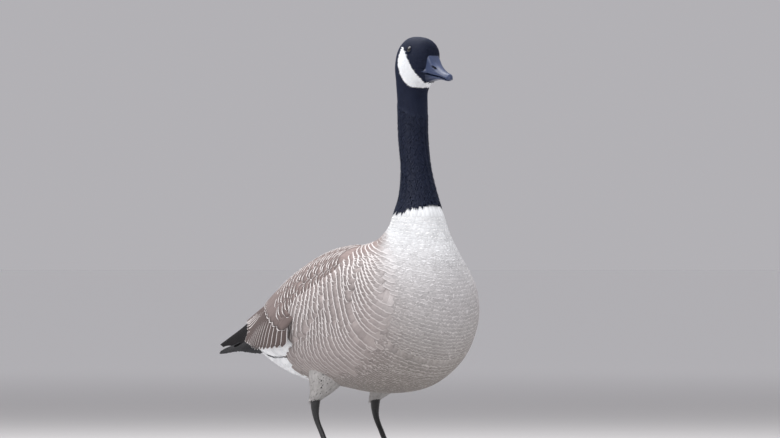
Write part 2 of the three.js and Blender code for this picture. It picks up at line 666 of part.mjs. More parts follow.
// The middle of the box goes over the origin.
const box = new THREE.Box3().setFromObject(goose);
const centre = box.getCenter(new THREE.Vector3());
goose.position.set(-centre.x, -centre.y, -box.min.z);

export default goose;
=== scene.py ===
"""A still, life-size Canada goose, dressed feather by feather over its solids."""

import math

import bmesh
import bpy
import numpy as np
from mathutils import Matrix, Vector
from mathutils.kdtree import KDTree


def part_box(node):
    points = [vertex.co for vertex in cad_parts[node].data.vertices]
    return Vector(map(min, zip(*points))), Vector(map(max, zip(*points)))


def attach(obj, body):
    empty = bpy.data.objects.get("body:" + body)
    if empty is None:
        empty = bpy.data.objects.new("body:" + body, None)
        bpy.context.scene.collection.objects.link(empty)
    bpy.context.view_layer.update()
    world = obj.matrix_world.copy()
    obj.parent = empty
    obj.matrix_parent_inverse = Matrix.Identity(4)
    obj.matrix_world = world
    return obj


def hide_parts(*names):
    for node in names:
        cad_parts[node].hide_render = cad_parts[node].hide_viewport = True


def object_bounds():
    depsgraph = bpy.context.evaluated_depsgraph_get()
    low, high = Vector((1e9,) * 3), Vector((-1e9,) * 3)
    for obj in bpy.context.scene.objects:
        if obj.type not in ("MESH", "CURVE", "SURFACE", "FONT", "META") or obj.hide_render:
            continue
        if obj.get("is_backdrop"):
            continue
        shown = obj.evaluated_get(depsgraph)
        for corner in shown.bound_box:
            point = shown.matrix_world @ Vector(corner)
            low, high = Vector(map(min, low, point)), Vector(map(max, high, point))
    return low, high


bl_info = {
    "name": "Canada Goose",
    "version": (1, 0, 0),
    "blender": (4, 5, 0),
    "location": "View3D > Sidebar > Goose",
    "description": "Builds a life-size Canada goose, feather by feather, over its solids",
    "category": "Add Mesh",
}

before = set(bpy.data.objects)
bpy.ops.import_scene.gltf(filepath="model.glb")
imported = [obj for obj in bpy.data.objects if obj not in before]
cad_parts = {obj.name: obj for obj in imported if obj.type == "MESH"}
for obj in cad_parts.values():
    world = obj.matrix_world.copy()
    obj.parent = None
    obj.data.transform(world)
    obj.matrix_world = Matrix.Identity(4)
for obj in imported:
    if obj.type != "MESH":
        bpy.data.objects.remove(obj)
CAD_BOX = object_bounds()

MM = 0.001

# The outline is drawn in millimetres from the middle of the neck. The rear of the right ankle ties it to the
# solids.
ANKLE = {"x": -186.0, "z": 98.0, "radius": 7.2, "long": 1.15}
LEG_STAGGER = 9.0
LEG_APART = 56.0
FOOT_X = -149.0
ANKLE_REAR = ANKLE["x"] - LEG_STAGGER - ANKLE["radius"] * ANKLE["long"]
SHIFT = np.array([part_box("shank_right")[0].x / MM - ANKLE_REAR, 0.0, 0.0])

HEAD_TURN = math.radians(4)
TURN_AXIS_X = -16.0
TURN_FOOT, TURN_TOP = 440.0, 640.0

# Each row is one cut across the bird: its ends on the back and on the front (x, z), its half width, how far
# from the front to the back it is widest, and its squareness, where 2 is an ellipse.
BODY_OUTLINE = [
    ((33, 663), (22, 617.5), 13.6, 0.45, 4.6),
    ((31, 675.5), (16, 614.5), 19.5, 0.5, 3.0),
    ((20, 687), (10, 611), 24, 0.52, 2.5),
    ((2, 692), (7, 606), 25.6, 0.5, 2.4),
    ((-18, 691), (6, 602), 26.4, 0.44, 2.3),
    ((-36, 679), (5.5, 598), 26.6, 0.42, 2.15),
    ((-45, 656), (6.5, 592), 26.2, 0.45, 2),
    ((-43, 628), (8, 584), 25, 0.5, 2),
    ((-40.5, 594), (9, 570), 24, 0.5, 2),
    ((-38, 534), (9.5, 530), 23.7, 0.5, 2),
    ((-31, 470), (20, 470), 25, 0.5, 2),
    ((-34, 432), (32, 432), 32, 0.5, 2),
    ((-43, 408), (42, 405), 39.5, 0.5, 2),
    ((-55, 385), (58, 366), 48, 0.5, 2),
    ((-76, 367), (76, 328), 66, 0.5, 2),
    ((-102, 359), (89, 284), 91, 0.5, 2.05),
    ((-130, 356), (90, 234), 109, 0.5, 2.05),
    ((-164, 350), (66, 176), 117, 0.5, 2.1),
    ((-202, 339), (6, 130), 119, 0.49, 2.08),
    ((-244, 322), (-72, 117), 116, 0.48, 2.05),
    ((-286, 298), (-158, 125), 106, 0.46, 2.02),
    ((-326, 271), (-266, 140), 84, 0.44, 1.95),
    ((-362, 248), (-340, 171), 60, 0.42, 1.9),
    ((-392, 234), (-388, 204), 36, 0.5, 2),
]
CUT_NECK, CUT_COLLAR, CUT_TAIL = 8, 12, 23

# The folded right wing's face: each row runs from its upper edge on the back to its lower edge on the flank.
WING_OUTLINE = [
    ((-70, 70, 343), (-62, 85, 330)),
    ((-92, 48, 352), (-76, 103, 313)),
    ((-130, 31, 354), (-111, 114, 289)),
    ((-190, 21, 346), (-172, 121, 257)),
    ((-250, 16, 324), (-237, 116, 229)),
    ((-305, 13, 295), (-297, 95, 204)),
    ((-352, 12, 267), (-346, 68, 192)),
    ((-396, 12, 243), (-390, 48, 190)),
    ((-436, 9, 222), (-432, 33, 188)),
    ((-474, 7, 204), (-472, 22, 186)),
]
WING_BOW = 0.65
WING_CORE = {"from": 0.004, "to": 0.77, "back": 0.17, "thick": 11.0, "edge": 3.0, "under": 1.6}

UPPER_BILL_OUTLINE = [
    ((32.9, 662), (26.1, 634), 13.2, 0.3, 6.5),
    ((42, 650), (37, 630.8), 12.8, 0.24, 3.6),
    ((52, 640.5), (49.5, 628.2), 11.4, 0.2, 2.6),
    ((61, 634.4), (60, 625.8), 9.8, 0.2, 2.5),
    ((68, 631.5), (67.3, 623.2), 8, 0.2, 2.4),
    ((72.3, 628.6), (71.4, 620.8), 5.4, 0.3, 2.4),
    ((74, 625.4), (73.4, 622), 2.2, 0.5, 2),
]
LOWER_BILL_OUTLINE = [
    ((26, 633.5), (22.4, 618.4), 12, 0.75, 2.5),
    ((36, 630.6), (35, 620.8), 11.2, 0.75, 2.4),
    ((49, 627.8), (48.4, 622.6), 9.6, 0.75, 2.3),
    ((59.5, 625.3), (59.2, 621.4), 7.8, 0.7, 2.3),
    ((66.5, 622.8), (66.3, 620), 5.6, 0.6, 2.2),
    ((69.5, 621.2), (69.3, 619.8), 3, 0.5, 2),
]
NOSTRIL = {"x": 44.0, "z": 642.0, "long": 5.8, "high": 1.7, "deep": 3.6, "slope": 0.56, "dish": 0.6,
           "rim": 0.25}
NAIL = {"x": 70.3, "long": 5.2, "wide": 5.6, "high": 0.55, "groove": 0.25, "above": 624}
COMB = {"high": 0.22, "apart": 1.5}
GAPE = {"x": 31.0, "z": 634.5, "back": 7.0, "out": 7.0, "high": 6.0}
EYE = {"x": 0.0, "y": 23.0, "z": 671.0, "radius": 6.2, "inset": 3.4, "opening": 5.0, "lid": 1.25, "tilt": 74,
       "lid_shape": (1.08, 0.94, 1.0), "gap": 0.15}
TAIL = {"root": (-382.0, 228.0), "droop": 30, "length": 94.0, "feathers": 14, "width": 22.0, "fan": 8,
        "half": 24.0, "roof": 0.5, "flat_by": 80.0, "sag": 0.0004, "taper": 0.08}
SCUTE = {"apart": 4.6, "high": 0.45}
TOES = (
    {"name": "inner", "length": 60.0, "angle": 0.47, "joints": 2},
    {"name": "middle", "length": 80.0, "angle": 0.0, "joints": 3},
    {"name": "outer", "length": 74.0, "angle": -0.4465, "joints": 4},
)
SIDES = (("right", -1), ("left", 1))


class Rail:
    """A smooth curve through rows of numbers, its knots as far apart as the rows' middles are."""

    def __init__(self, rows, middles):
        self.rows = np.array(rows, float)
        steps = np.diff(np.array(middles, float), axis=0)
        self.knots = np.concatenate([[0.0], np.cumsum(np.hypot(steps[:, 0], steps[:, 1]))])
        self.length = self.knots[-1]
        span = np.diff(self.knots)
        slope = np.diff(self.rows, axis=0) / span[:, None]
        share = (span[:-1] / (span[:-1] + span[1:]))[:, None]
        self.slopes = np.vstack([slope[:1], slope[:-1] * (1 - share) + slope[1:] * share, slope[-1:]])

    def at(self, s):
        s = np.asarray(s, float)
        held = np.clip(s, 0, self.length)
        j = np.clip(np.searchsorted(self.knots, held, side="right") - 1, 0, len(self.knots) - 2)
        span = (self.knots[j + 1] - self.knots[j])[..., None]
        t = (held - self.knots[j])[..., None] / span
        rise = t * t * (3 - 2 * t)
        curve = self.rows[j] * (1 - rise) + self.rows[j + 1] * rise
        curve = curve + t * (1 - t) ** 2 * span * self.slopes[j] - t * t * (1 - t) * span * self.slopes[j + 1]
        end = np.where((s > self.length)[..., None], self.slopes[-1], self.slopes[0])
        return curve + (s - held)[..., None] * end


def smoothstep(low, high, value):
    t = np.clip((np.asarray(value, float) - low) / (high - low), 0, 1)
    return t * t * (3 - 2 * t)


def turned(points):
    """The head and upper neck turned a little to the bird's left."""
    angle = HEAD_TURN * smoothstep(TURN_FOOT, TURN_TOP, points[..., 2])
    x = points[..., 0] - TURN_AXIS_X
    y = points[..., 1]
    out = np.array(points, float)
    out[..., 0] = x * np.cos(angle) - y * np.sin(angle) + TURN_AXIS_X
    out[..., 1] = x * np.sin(angle) + y * np.cos(angle)
    return out


def in_frame(points):
    """Outline millimetres to metres in the solids' frame."""
    return (np.asarray(points, float) + SHIFT) * MM


class Body:
    """A rounded body through cuts that stand square to the middle plane: a distance along it, and an angle
    round it from the back towards the left."""

    step = (0.4, 0.004)
    outward = -1

    def __init__(self, outline, swell=None):
        rows = [(*back, *front, half, wide, square) for back, front, half, wide, square in outline]
        self.rail = Rail(rows, [((r[0] + r[2]) / 2, (r[1] + r[3]) / 2) for r in rows])
        self.knots = self.rail.knots
        self.length = self.rail.length
        self.swell = swell

    def cut(self, s):
        """Which cut of the outline a distance along the body has come to, as a number with a fraction."""
        return np.interp(s, self.knots, np.arange(len(self.knots)))

    def at_cut(self, cut):
        return np.interp(cut, np.arange(len(self.knots)), self.knots)

    def plain(self, s, angle, lift=0.0):
        bx, bz, fx, fz, half, wide, square = np.moveaxis(self.rail.at(s), -1, 0)
        power = lambda v: np.sign(v) * np.abs(v) ** (2 / square)
        up = power(np.cos(angle))
        reach = wide + np.where(up > 0, up * (1 - wide), up * wide)
        ax, az = bx - fx, bz - fz
        size = np.hypot(ax, az)
        x = fx + ax * reach + ax / size * lift * up
        z = fz + az * reach + az / size * lift * up
        return np.stack([x, (half + lift) * power(np.sin(angle)), z], -1)

    def at(self, s, angle):
        lift = self.swell(s, angle) if self.swell else 0.0
        return turned(self.plain(s, angle, lift))


class Wing:
    """The folded right wing's outer face: from 0 at the shoulder to 1 at the tip, and from 0 at its upper
    edge to 1 at its lower."""

    step = (0.002, 0.004)
    outward = 1

    def __init__(self, outline):
        rows = [(*upper, *lower) for upper, lower in outline]
        self.rail = Rail(rows, [((r[0] + r[3]) / 2, (r[2] + r[5]) / 2) for r in rows])

    def at(self, along, across):
        ux, uy, uz, lx, ly, lz = np.moveaxis(self.rail.at(along * self.rail.length), -1, 0)
        angle = across * math.pi / 2
        out = across * (1 - WING_BOW) + np.sin(angle) * WING_BOW
        up = (1 - across) * (1 - WING_BOW) + np.cos(angle) * WING_BOW
        return np.stack([ux + (lx - ux) * across, -uy - (ly - uy) * out, lz + (uz - lz) * up], -1)


class Limb:
    """An upright limb through level ovals, from its top down: each (x, y, z, half length, half width)."""

    step = (0.4, 0.004)
    outward = -1

    def __init__(self, ovals):
        self.rail = Rail(ovals, [(o[0], o[2]) for o in ovals])
        self.length = self.rail.length

    def at(self, s, angle):
        x, y, z, long, wide = np.moveaxis(self.rail.at(s), -1, 0)
        return np.stack([x - np.cos(angle) * long, y + np.sin(angle) * wide, z], -1)


def surface_frame(surface, a, b):
    """A surface's point, its two directions of travel and its outward normal."""
    da, db = surface.step
    along = (surface.at(a + da, b) - surface.at(a - da, b)) / (2 * da)
    across = (surface.at(a, b + db) - surface.at(a, b - db)) / (2 * db)
    normal = np.cross(along, across) * surface.outward
    size = np.linalg.norm(normal, axis=-1, keepdims=True)
    return surface.at(a, b), along, across, normal / np.maximum(size, 1e-9)


body = Body(BODY_OUTLINE)
wing = Wing(WING_OUTLINE)


def search_tree(points):
    """Finds the nearest of many points: its place, its number and how far off it is."""
    tree = KDTree(len(points))
    for i, point in enumerate(points):
        tree.insert(point, i)
    tree.balance()
    return tree


# Where the flank's coat lies over the wing's lower edge: the stretch of the wing, the cuts and angles of the
# body beside it, how much higher than the wing it lies, and how far it takes to rise and fall.
SHELF = {"along": (0.02, 0.36), "across": 0.96, "cuts": (13, 21), "bend": (0.2, 0.75), "over": 2.5}
SHELF_RISE = {"ahead": (30, 10), "behind": (30, 40), "below": (0.55, 0.02), "above": 0.22}


def wing_shelf():
    """How far out the coat of the flank has to swell to lie over the wing's lower edge, along the body."""
    first, last = (body.knots[cut] for cut in SHELF["cuts"])
    s, angle = np.meshgrid(np.linspace(first, last, 220), np.linspace(*SHELF["bend"], 120) * math.pi)
    s, angle = s.ravel(), angle.ravel()
    tree = search_tree(body.plain(s, angle))
    edge = wing.at(np.linspace(*SHELF["along"], 30), SHELF["across"]) * [1, -1, 1]
    hits = [tree.find(point) for point in edge]
    found = np.array([(s[i], angle[i], distance) for _, i, distance in hits])
    return found[np.argsort(found[:, 0])].T


SHELF_AT, SHELF_ANGLE, SHELF_HIGH = wing_shelf()


def flank_swell(s, angle):
    """The coat of the flank rises towards the wing's lower edge and falls away under the wing."""
    bend = np.abs(np.arctan2(np.sin(angle), np.cos(angle)))
    from_edge = bend - np.interp(s, SHELF_AT, SHELF_ANGLE)
    before, after = SHELF_RISE["ahead"]
    ahead = smoothstep(SHELF_AT[0] - before, SHELF_AT[0] + after, s)
    after, before = SHELF_RISE["behind"]
    behind = smoothstep(SHELF_AT[-1] + after, SHELF_AT[-1] - before, s)
    high = (np.interp(s, SHELF_AT, SHELF_HIGH) + SHELF["over"]) * ahead * behind
    below = smoothstep(*SHELF_RISE["below"], from_edge)
    return high * below * smoothstep(-SHELF_RISE["above"], 0.0, from_edge)


coat = Body(BODY_OUTLINE, flank_swell)


def bend_share(angle):
    """An angle's bend: how far round from the back it lies on either side, from 0 there to 1 on the belly."""
    return np.abs(np.arctan2(np.sin(angle), np.cos(angle))) / math.pi


# How far each row of feathers has moved back once it has come round the side, in millimetres by the row's
# cut, and between which bends it moves.
LEAN_CUT = (14.0, 14.6, 15.0, 15.4, 16.2, 16.8, 17.4, 18.2, 20.5)
LEAN = (0.0, 28.0, 45.0, 60.0, 64.0, 72.0, 100.0, 125.0, 130.0)
LEAN_BEND = (0.34, 0.64)


def row_place(row, angle):
    """The distance along the body at which a leaning row comes to an angle."""
    lean = np.interp(body.cut(row), LEAN_CUT, LEAN)
    return row + lean * smoothstep(*LEAN_BEND, bend_share(angle))


def row_of(s, angle):
    """The row that a place on the body lies in, as the distance at which that row leaves the back."""
    low, high = np.asarray(s, float) - max(LEAN), np.asarray(s, float)
    for _ in range(16):
        row = (low + high) / 2
        beyond = row_place(row, angle) > s
        low, high = np.where(beyond, low, row), np.where(beyond, row, high)
    return high


def travel(along, across, step):
    """How far a small step in space goes in each of a surface's own two directions."""
    ee = (along * along).sum(-1)
    ef = (along * across).sum(-1)
    ff = (across * across).sum(-1)
    te = (step * along).sum(-1)
    tf = (step * across).sum(-1)
    space = ee * ff - ef * ef
    return (te * ff - tf * ef) / space, (tf * ee - te * ef) / space


def unit(vectors):
    return vectors / np.maximum(np.linalg.norm(vectors, axis=-1, keepdims=True), 1e-9)


class Shafts:
    """Lines on a surface that feathers are laid along: places (rows, feathers), directions and lengths."""

    def __init__(self, a, b, lie, length):
        self.a, self.b, self.lie, self.length = a, b, lie, length

    def at(self, share):
        """The places that far along each shaft, from 0 at the root to 1 at the tip."""
        row = share * (len(self.a) - 1)
        low = min(int(row), len(self.a) - 2)
        mix = lambda rows: rows[low] + (rows[low + 1] - rows[low]) * (row - low)
        return mix(self.a), mix(self.b)

    def kept(self, keep):
        return Shafts(self.a[:, keep], self.b[:, keep], self.lie[:, keep], self.length[keep])


def walk(surface, levels, a, b, length, flow=0.0):
    """Shafts that set out at an angle to the surface's own length and go straight on over it."""
    length = np.broadcast_to(np.asarray(length, float), a.shape)
    lie = None
    spots_a, spots_b, lies = [], [], []
    for level, following in zip(levels, [*levels[1:], levels[-1]]):
        _, along, across, normal = surface_frame(surface, a, b)
        if lie is None:
            forward = unit(along)
            flow = np.broadcast_to(np.asarray(flow, float), a.shape)[:, None]
            lie = forward * np.cos(flow) + np.cross(normal, forward) * np.sin(flow)
        lie = unit(lie - normal * (lie * normal).sum(-1, keepdims=True))
        spots_a.append(a)
        spots_b.append(b)
        lies.append(lie)
        da, db = travel(along, across, lie * (length * (following - level))[:, None])
        a, b = a + da, b + db
    return Shafts(np.array(spots_a), np.array(spots_b), np.array(lies), length)


def reach(surface, levels, root, tip):
    """Shafts from given roots to given tips, even in the surface's own measures."""
    share = np.asarray(levels)[:, None]
    a = root[0] + (tip[0] - root[0]) * share
    b = root[1] + (tip[1] - root[1]) * share
    place, along, across, _ = surface_frame(surface, a, b)
    lie = unit(along * (tip[0] - root[0])[:, None] + across * (tip[1] - root[1])[:, None])
    length = np.linalg.norm(np.diff(place, axis=0), axis=-1).sum(0)
    return Shafts(a, b, lie, length)


# Small helpers for modelling.
def clear_selection():
    if bpy.context.object and bpy.context.object.mode != "OBJECT":
        bpy.ops.object.mode_set(mode="OBJECT")
    bpy.ops.object.select_all(action="DESELECT")


def make_active(piece):
    clear_selection()
    piece.select_set(True)
    bpy.context.view_layer.objects.active = piece


def set_in_place(piece):
    """Puts the piece's own place, turn and size into its mesh."""
    make_active(piece)
    bpy.ops.object.transform_apply(location=True, rotation=True, scale=True)


def apply_modifier(piece, kind, **settings):
    make_active(piece)
    modifier = piece.modifiers.new(kind.title(), kind)
    for name, value in settings.items():
        setattr(modifier, name, value)
    bpy.ops.object.modifier_apply(modifier=modifier.name)


def new_piece(name, points, faces):
    """A smooth mesh from points in metres and faces given as arrays of four or lists of any size."""
    mesh = bpy.data.meshes.new(name)
    mesh.from_pydata([tuple(p) for p in points], [], [tuple(f) for f in faces])
    mesh.polygons.foreach_set("use_smooth", [True] * len(mesh.polygons))
    return in_scene(mesh)


def in_scene(data):
    """An object of its data's name, for a mesh, a lamp or a camera."""
    piece = bpy.data.objects.new(data.name, data)
    bpy.context.scene.collection.objects.link(piece)
    return piece


def ring_faces(rings, sides):
    """Quads between rings of points and a cap on either end."""
    faces = []
    for i in range(rings - 1):
        for j in range(sides):
            k = (j + 1) % sides
            faces.append((i * sides + j, (i + 1) * sides + j, (i + 1) * sides + k, i * sides + k))
    faces.append(tuple(range(sides)))
    faces.append(tuple((rings - 1) * sides + j for j in reversed(range(sides))))
    return faces


def round_grid(distances, sides):
    """Distances and angles of a grid that goes all the way round."""
    return np.meshgrid(distances, np.arange(sides) / sides * math.tau, indexing="ij")


def loft(name, grid):
    """A closed piece through a grid of points, in millimetres of the outline: rings by sides."""
    piece = new_piece(name, in_frame(grid.reshape(-1, 3)), ring_faces(*grid.shape[:2]))
    face_out(piece)
    return piece


def face_out(piece):
    make_active(piece)
    bpy.ops.object.mode_set(mode="EDIT")
    bpy.ops.mesh.select_all(action="SELECT")
    bpy.ops.mesh.normals_make_consistent(inside=False)
    bpy.ops.object.mode_set(mode="OBJECT")


def cut_or_join(piece, other, operation):
    """Joins another closed piece to this one or cuts it away, and removes the other."""
    apply_modifier(piece, "BOOLEAN", operation=operation, object=other, solver="MANIFOLD")
    bpy.data.objects.remove(other)


def finish_piece(piece, material, slot, *nodes):
    piece.data.materials.clear()
    piece.data.materials.append(material)
    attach(piece, "root")
    if nodes:
        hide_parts(*nodes)


# Shader graphs.
class Graph:
    """Adds nodes to a tree, each call giving the output socket that it makes."""

    def __init__(self, tree):
        self.tree = tree

    def node(self, kind, **settings):
        made = self.tree.nodes.new(kind)
        for name, value in settings.items():
            setattr(made, name, value)
        return made

    def feed(self, socket, value):
        if isinstance(value, bpy.types.NodeSocket):
            self.tree.links.new(value, socket)
        elif value is not None:
            socket.default_value = value

    def math(self, operation, a, b=None, c=None):
        made = self.node("ShaderNodeMath", operation=operation)
        for socket, value in zip(made.inputs, (a, b, c)):
            self.feed(socket, value)
        return made.outputs[0]

    def ramp(self, value, low, high):
        """Rises smoothly from 0 to 1 between two values, or falls where the first is the higher."""
        made = self.node("ShaderNodeMapRange", interpolation_type="SMOOTHSTEP")
        for socket, given in zip(made.inputs, (value, low, high)):
            self.feed(socket, given)
        return made.outputs[0]

    def mix(self, share, a, b, blend="MIX"):
        made = self.node("ShaderNodeMix", data_type="RGBA", blend_type=blend)
        self.feed(made.inputs[0], share)
        self.feed(made.inputs[6], a)
        self.feed(made.inputs[7], b)
        return made.outputs[2]

    def noise(self, vector, scale, detail=2.0):
        made = self.node("ShaderNodeTexNoise")
        self.feed(made.inputs["Vector"], vector)
        self.feed(made.inputs["Scale"], scale)
        self.feed(made.inputs["Detail"], detail)
        return made.outputs[0]

    def bump(self, height, distance, strength=1.0):
        made = self.node("ShaderNodeBump")
        made.inputs["Strength"].default_value = strength
        made.inputs["Distance"].default_value = distance
        self.feed(made.inputs["Height"], height)
        return made.outputs[0]

    def scaled(self, vector, x, y, z):
        made = self.node("ShaderNodeVectorMath", operation="MULTIPLY")
        self.feed(made.inputs[0], vector)
        made.inputs[1].default_value = (x, y, z)
        return made.outputs[0]

    def object_place(self):
        return self.node("ShaderNodeTexCoord").outputs["Object"]

    def attribute(self, name, output="Color"):
        return self.node("ShaderNodeAttribute", attribute_name=name).outputs[output]

    def parts(self, vector):
        made = self.node("ShaderNodeSeparateXYZ")
        self.feed(made.inputs[0], vector)
        return made.outputs

    def times(self, a, b):
        return self.math("MULTIPLY", a, b)

    def less(self, a, b):
        return self.math("SUBTRACT", a, b)

    def times_plus(self, a, b, c):
        return self.math("MULTIPLY_ADD", a, b, c)

    def tinted(self, color, shade):
        return self.mix(1.0, color, shade, "MULTIPLY")

    def group(self, tree, **inputs):
        made = self.node("ShaderNodeGroup", node_tree=tree)
        for name, value in inputs.items():
            self.feed(made.inputs[name.replace("_", " ")], value)
        return made


def new_group(name, inputs, outputs):
    tree = bpy.data.node_groups.new(name, "ShaderNodeTree")
    for label, kind, default in inputs:
        socket = tree.interface.new_socket(label, in_out="INPUT", socket_type=kind)
        if default is not None:
            socket.default_value = default
    for label, kind in outputs:
        tree.interface.new_socket(label, in_out="OUTPUT", socket_type=kind)
    graph = Graph(tree)
    return tree, graph, graph.node("NodeGroupInput").outputs, graph.node("NodeGroupOutput").inputs


BARB_APART = 0.0011


def vane_group():
    """A feather's face: a pale fringe round the tip, a darker band inside it, the shaft and fine barbs."""
    if "Feather vane" in bpy.data.node_groups:
        return bpy.data.node_groups["Feather vane"]
    tree, g, given, out = new_group(
        "Feather vane",
        [
            ("Centre", "NodeSocketColor", None),
            ("Edge", "NodeSocketColor", None),
            ("Size", "NodeSocketVector", None),
            ("Fringe", "NodeSocketFloat", 0.002),
            ("Band", "NodeSocketFloat", 0.2),
            ("Shaft", "NodeSocketFloat", 0.1),
            ("Fleck", "NodeSocketFloat", 0.24),
            ("Side fade", "NodeSocketFloat", 0.3),
        ],
        [("Color", "NodeSocketColor"), ("Height", "NodeSocketFloat")],
    )
    across, along, _ = g.parts(g.node("ShaderNodeUVMap", uv_map="Vane").outputs[0])
    length, width, tone = g.parts(given["Size"])
    side = g.math("ABSOLUTE", g.times_plus(across, 2.0, -1.0))
    place = g.object_place()
    cloud = g.noise(place, 45.0, 3.0)
    fleck = g.noise(place, 700.0, 2.0)
    # How far each spot lies from the rim, a little uneven.
    from_tip = g.times(g.less(1.0, along), length)
    from_side = g.times(g.less(1.0, side), g.times(width, 0.4))
    near = g.math("MINIMUM", from_tip, g.times_plus(from_tip, given["Side fade"], from_side))
    near = g.math("ADD", near, g.times_plus(g.noise(place, 900.0, 1.0), 0.001, -0.0005))
    rim = g.ramp(near, g.less(given["Fringe"], 0.0005), g.math("ADD", given["Fringe"], 0.0003))
    fringe = g.less(1.0, rim)
    band = g.less(1.0, g.ramp(near, given["Fringe"], g.math("ADD", given["Fringe"], 0.009)))
    shaft = g.times(g.ramp(side, 0.07, 0.0), given["Shaft"])
    slant = g.times_plus(g.times(side, width), 0.4, from_tip)
    barbs = g.math("SINE", g.times(slant, math.tau / BARB_APART))
    shade = g.less(1.0, g.times(band, given["Band"]))
    for factor in (
        g.times_plus(cloud, 0.24, 0.88),
        g.times_plus(g.less(fleck, 0.5), given["Fleck"], 1.0),
        g.times_plus(tone, 0.1, 1.0),
        g.less(1.0, shaft),
        g.times_plus(barbs, 0.035, 1.0),
    ):
        shade = g.times(shade, factor)
    dark = g.tinted(given["Centre"], shade)
    pale = g.tinted(given["Edge"], g.times_plus(fleck, 0.2, 0.9))
    g.feed(out["Color"], g.mix(fringe, dark, pale))
    height = g.times_plus(barbs, 0.25, g.times(g.ramp(side, 0.1, 0.0), 0.8))
    g.feed(out["Height"], g.times_plus(fleck, 0.5, height))
    return tree


def grain_group():
    """Fine scales or pores over bare skin and horn."""
    if "Skin grain" in bpy.data.node_groups:
        return bpy.data.node_groups["Skin grain"]
    tree, g, given, out = new_group(
        "Skin grain",
        [
            ("Color", "NodeSocketColor", None),
            ("Light", "NodeSocketColor", None),
            ("Scale", "NodeSocketFloat", 600.0),
            ("Cells", "NodeSocketFloat", 0.5),
        ],
        [("Color", "NodeSocketColor"), ("Roughness", "NodeSocketFloat"), ("Height", "NodeSocketFloat")],
    )
    place = g.object_place()
    cells = g.node("ShaderNodeTexVoronoi", feature="DISTANCE_TO_EDGE")
    g.feed(cells.inputs["Vector"], place)
    g.feed(cells.inputs["Scale"], given["Scale"])
    seam = g.ramp(cells.outputs["Distance"], 0.0, 0.18)
    cloud = g.noise(place, 60.0, 4.0)
    pores = g.noise(place, 1500.0, 2.0)
    worn = g.times(g.ramp(cloud, 0.45, 0.75), 0.6)
    seam_dark = g.less(1.0, g.times(g.less(1.0, seam), given["Cells"]))
    g.feed(out["Color"], g.tinted(g.mix(worn, given["Color"], given["Light"]), seam_dark))
    g.feed(out["Roughness"], g.times_plus(cloud, 0.25, 0.28))
    g.feed(out["Height"], g.math("ADD", g.times(seam, given["Cells"]), g.times(pores, 0.2)))
    return tree


def new_material(name, **constants):
    """A material, its graph and its shader's sockets. The constants go to the sockets of the same names."""
    material = bpy.data.materials.new(name)
    material.use_nodes = True
    shader = material.node_tree.nodes["Principled BSDF"].inputs
    by_name = {socket.name.lower().replace(" ", "_"): socket for socket in shader}
    for label, value in constants.items():
        by_name[label].default_value = value
    return material, Graph(material.node_tree), shader


def feather_material(name, fringe, band, roughness, sheen, shaft=0.04, tint=(1, 1, 1, 1), fleck=0.24,
                     specular=0.3, side_fade=0.3):
    """A coat's finish: the fringe's width in metres, and how strong the band, shaft and flecks are."""
    material, g, shader = new_material(name, roughness=roughness, specular_ior_level=specular,
                                       sheen_weight=sheen, sheen_roughness=0.4, sheen_tint=tint)
    strength = g.times(g.attribute("edge", "Alpha"), band)
    vane = g.group(vane_group(), Centre=g.attribute("centre"), Edge=g.attribute("edge"),
                   Size=g.attribute("size", "Vector"), Fringe=fringe, Band=strength, Shaft=shaft,
                   Fleck=fleck, Side_fade=side_fade)
    g.feed(shader["Base Color"], vane.outputs["Color"])
    g.feed(shader["Normal"], g.bump(vane.outputs["Height"], 0.00025, 0.5))
    return material


def skin_material():
    material, g, shader = new_material("Skin under the coat", roughness=0.85, specular_ior_level=0.2)
    place = g.object_place()
    shade = g.times_plus(g.noise(place, 300.0, 3.0), 0.4, 0.6)
    g.feed(shader["Base Color"], g.tinted(g.attribute("centre"), shade))
    g.feed(shader["Normal"], g.bump(g.noise(g.scaled(place, 1, 1, 0.3), 1200.0, 2.0), 0.0004, 0.6))
    return material


def horn_material(name, color, light, scale, cells, coat_weight, bump=0.0002, painted_shade=False):
    """Bare horn or skin, lighter where worn: the size and strength of its scales, and how wet it looks.
    Where asked it is darkened by its piece's mark: painted shade in the nostrils and at the lower bill's
    root."""
    material, g, shader = new_material(name, coat_roughness=0.3)
    grain = g.group(grain_group(), Color=(*color, 1), Light=(*light, 1), Scale=scale, Cells=cells)
    color, rough, coated = grain.outputs["Color"], grain.outputs["Roughness"], coat_weight
    # The piece's mark darkens the colour as painted shade, and there the horn is rougher and less wet.
    if painted_shade:
        mark = g.attribute("centre")
        color = g.tinted(color, mark)
        rough = g.math("MAXIMUM", rough, g.less(1.0, mark))
        coated = g.times(mark, coat_weight)
    g.feed(shader["Base Color"], color)
    g.feed(shader["Roughness"], rough)
    g.feed(shader["Coat Weight"], coated)
    g.feed(shader["Normal"], g.bump(grain.outputs["Height"], bump, 0.6))
    return material


# Markings.
CHEEK_TOP = (-21.0, 677.0)
CHEEK_PATCH = [
    CHEEK_TOP,
    (-10.5, 667.0),
    (-2.5, 656.5),
    (6.4, 644.0),
    (13.5, 633.0),
    (19.3, 625.2),
    (21.0, 617.0),
    (19.0, 606.0),
    (8.0, 610.0),
    (-1.0, 612.5),
    (-9.5, 620.5),
    (-19.5, 634.5),
    (-25.0, 648.0),
    (-26.0, 662.0),
]


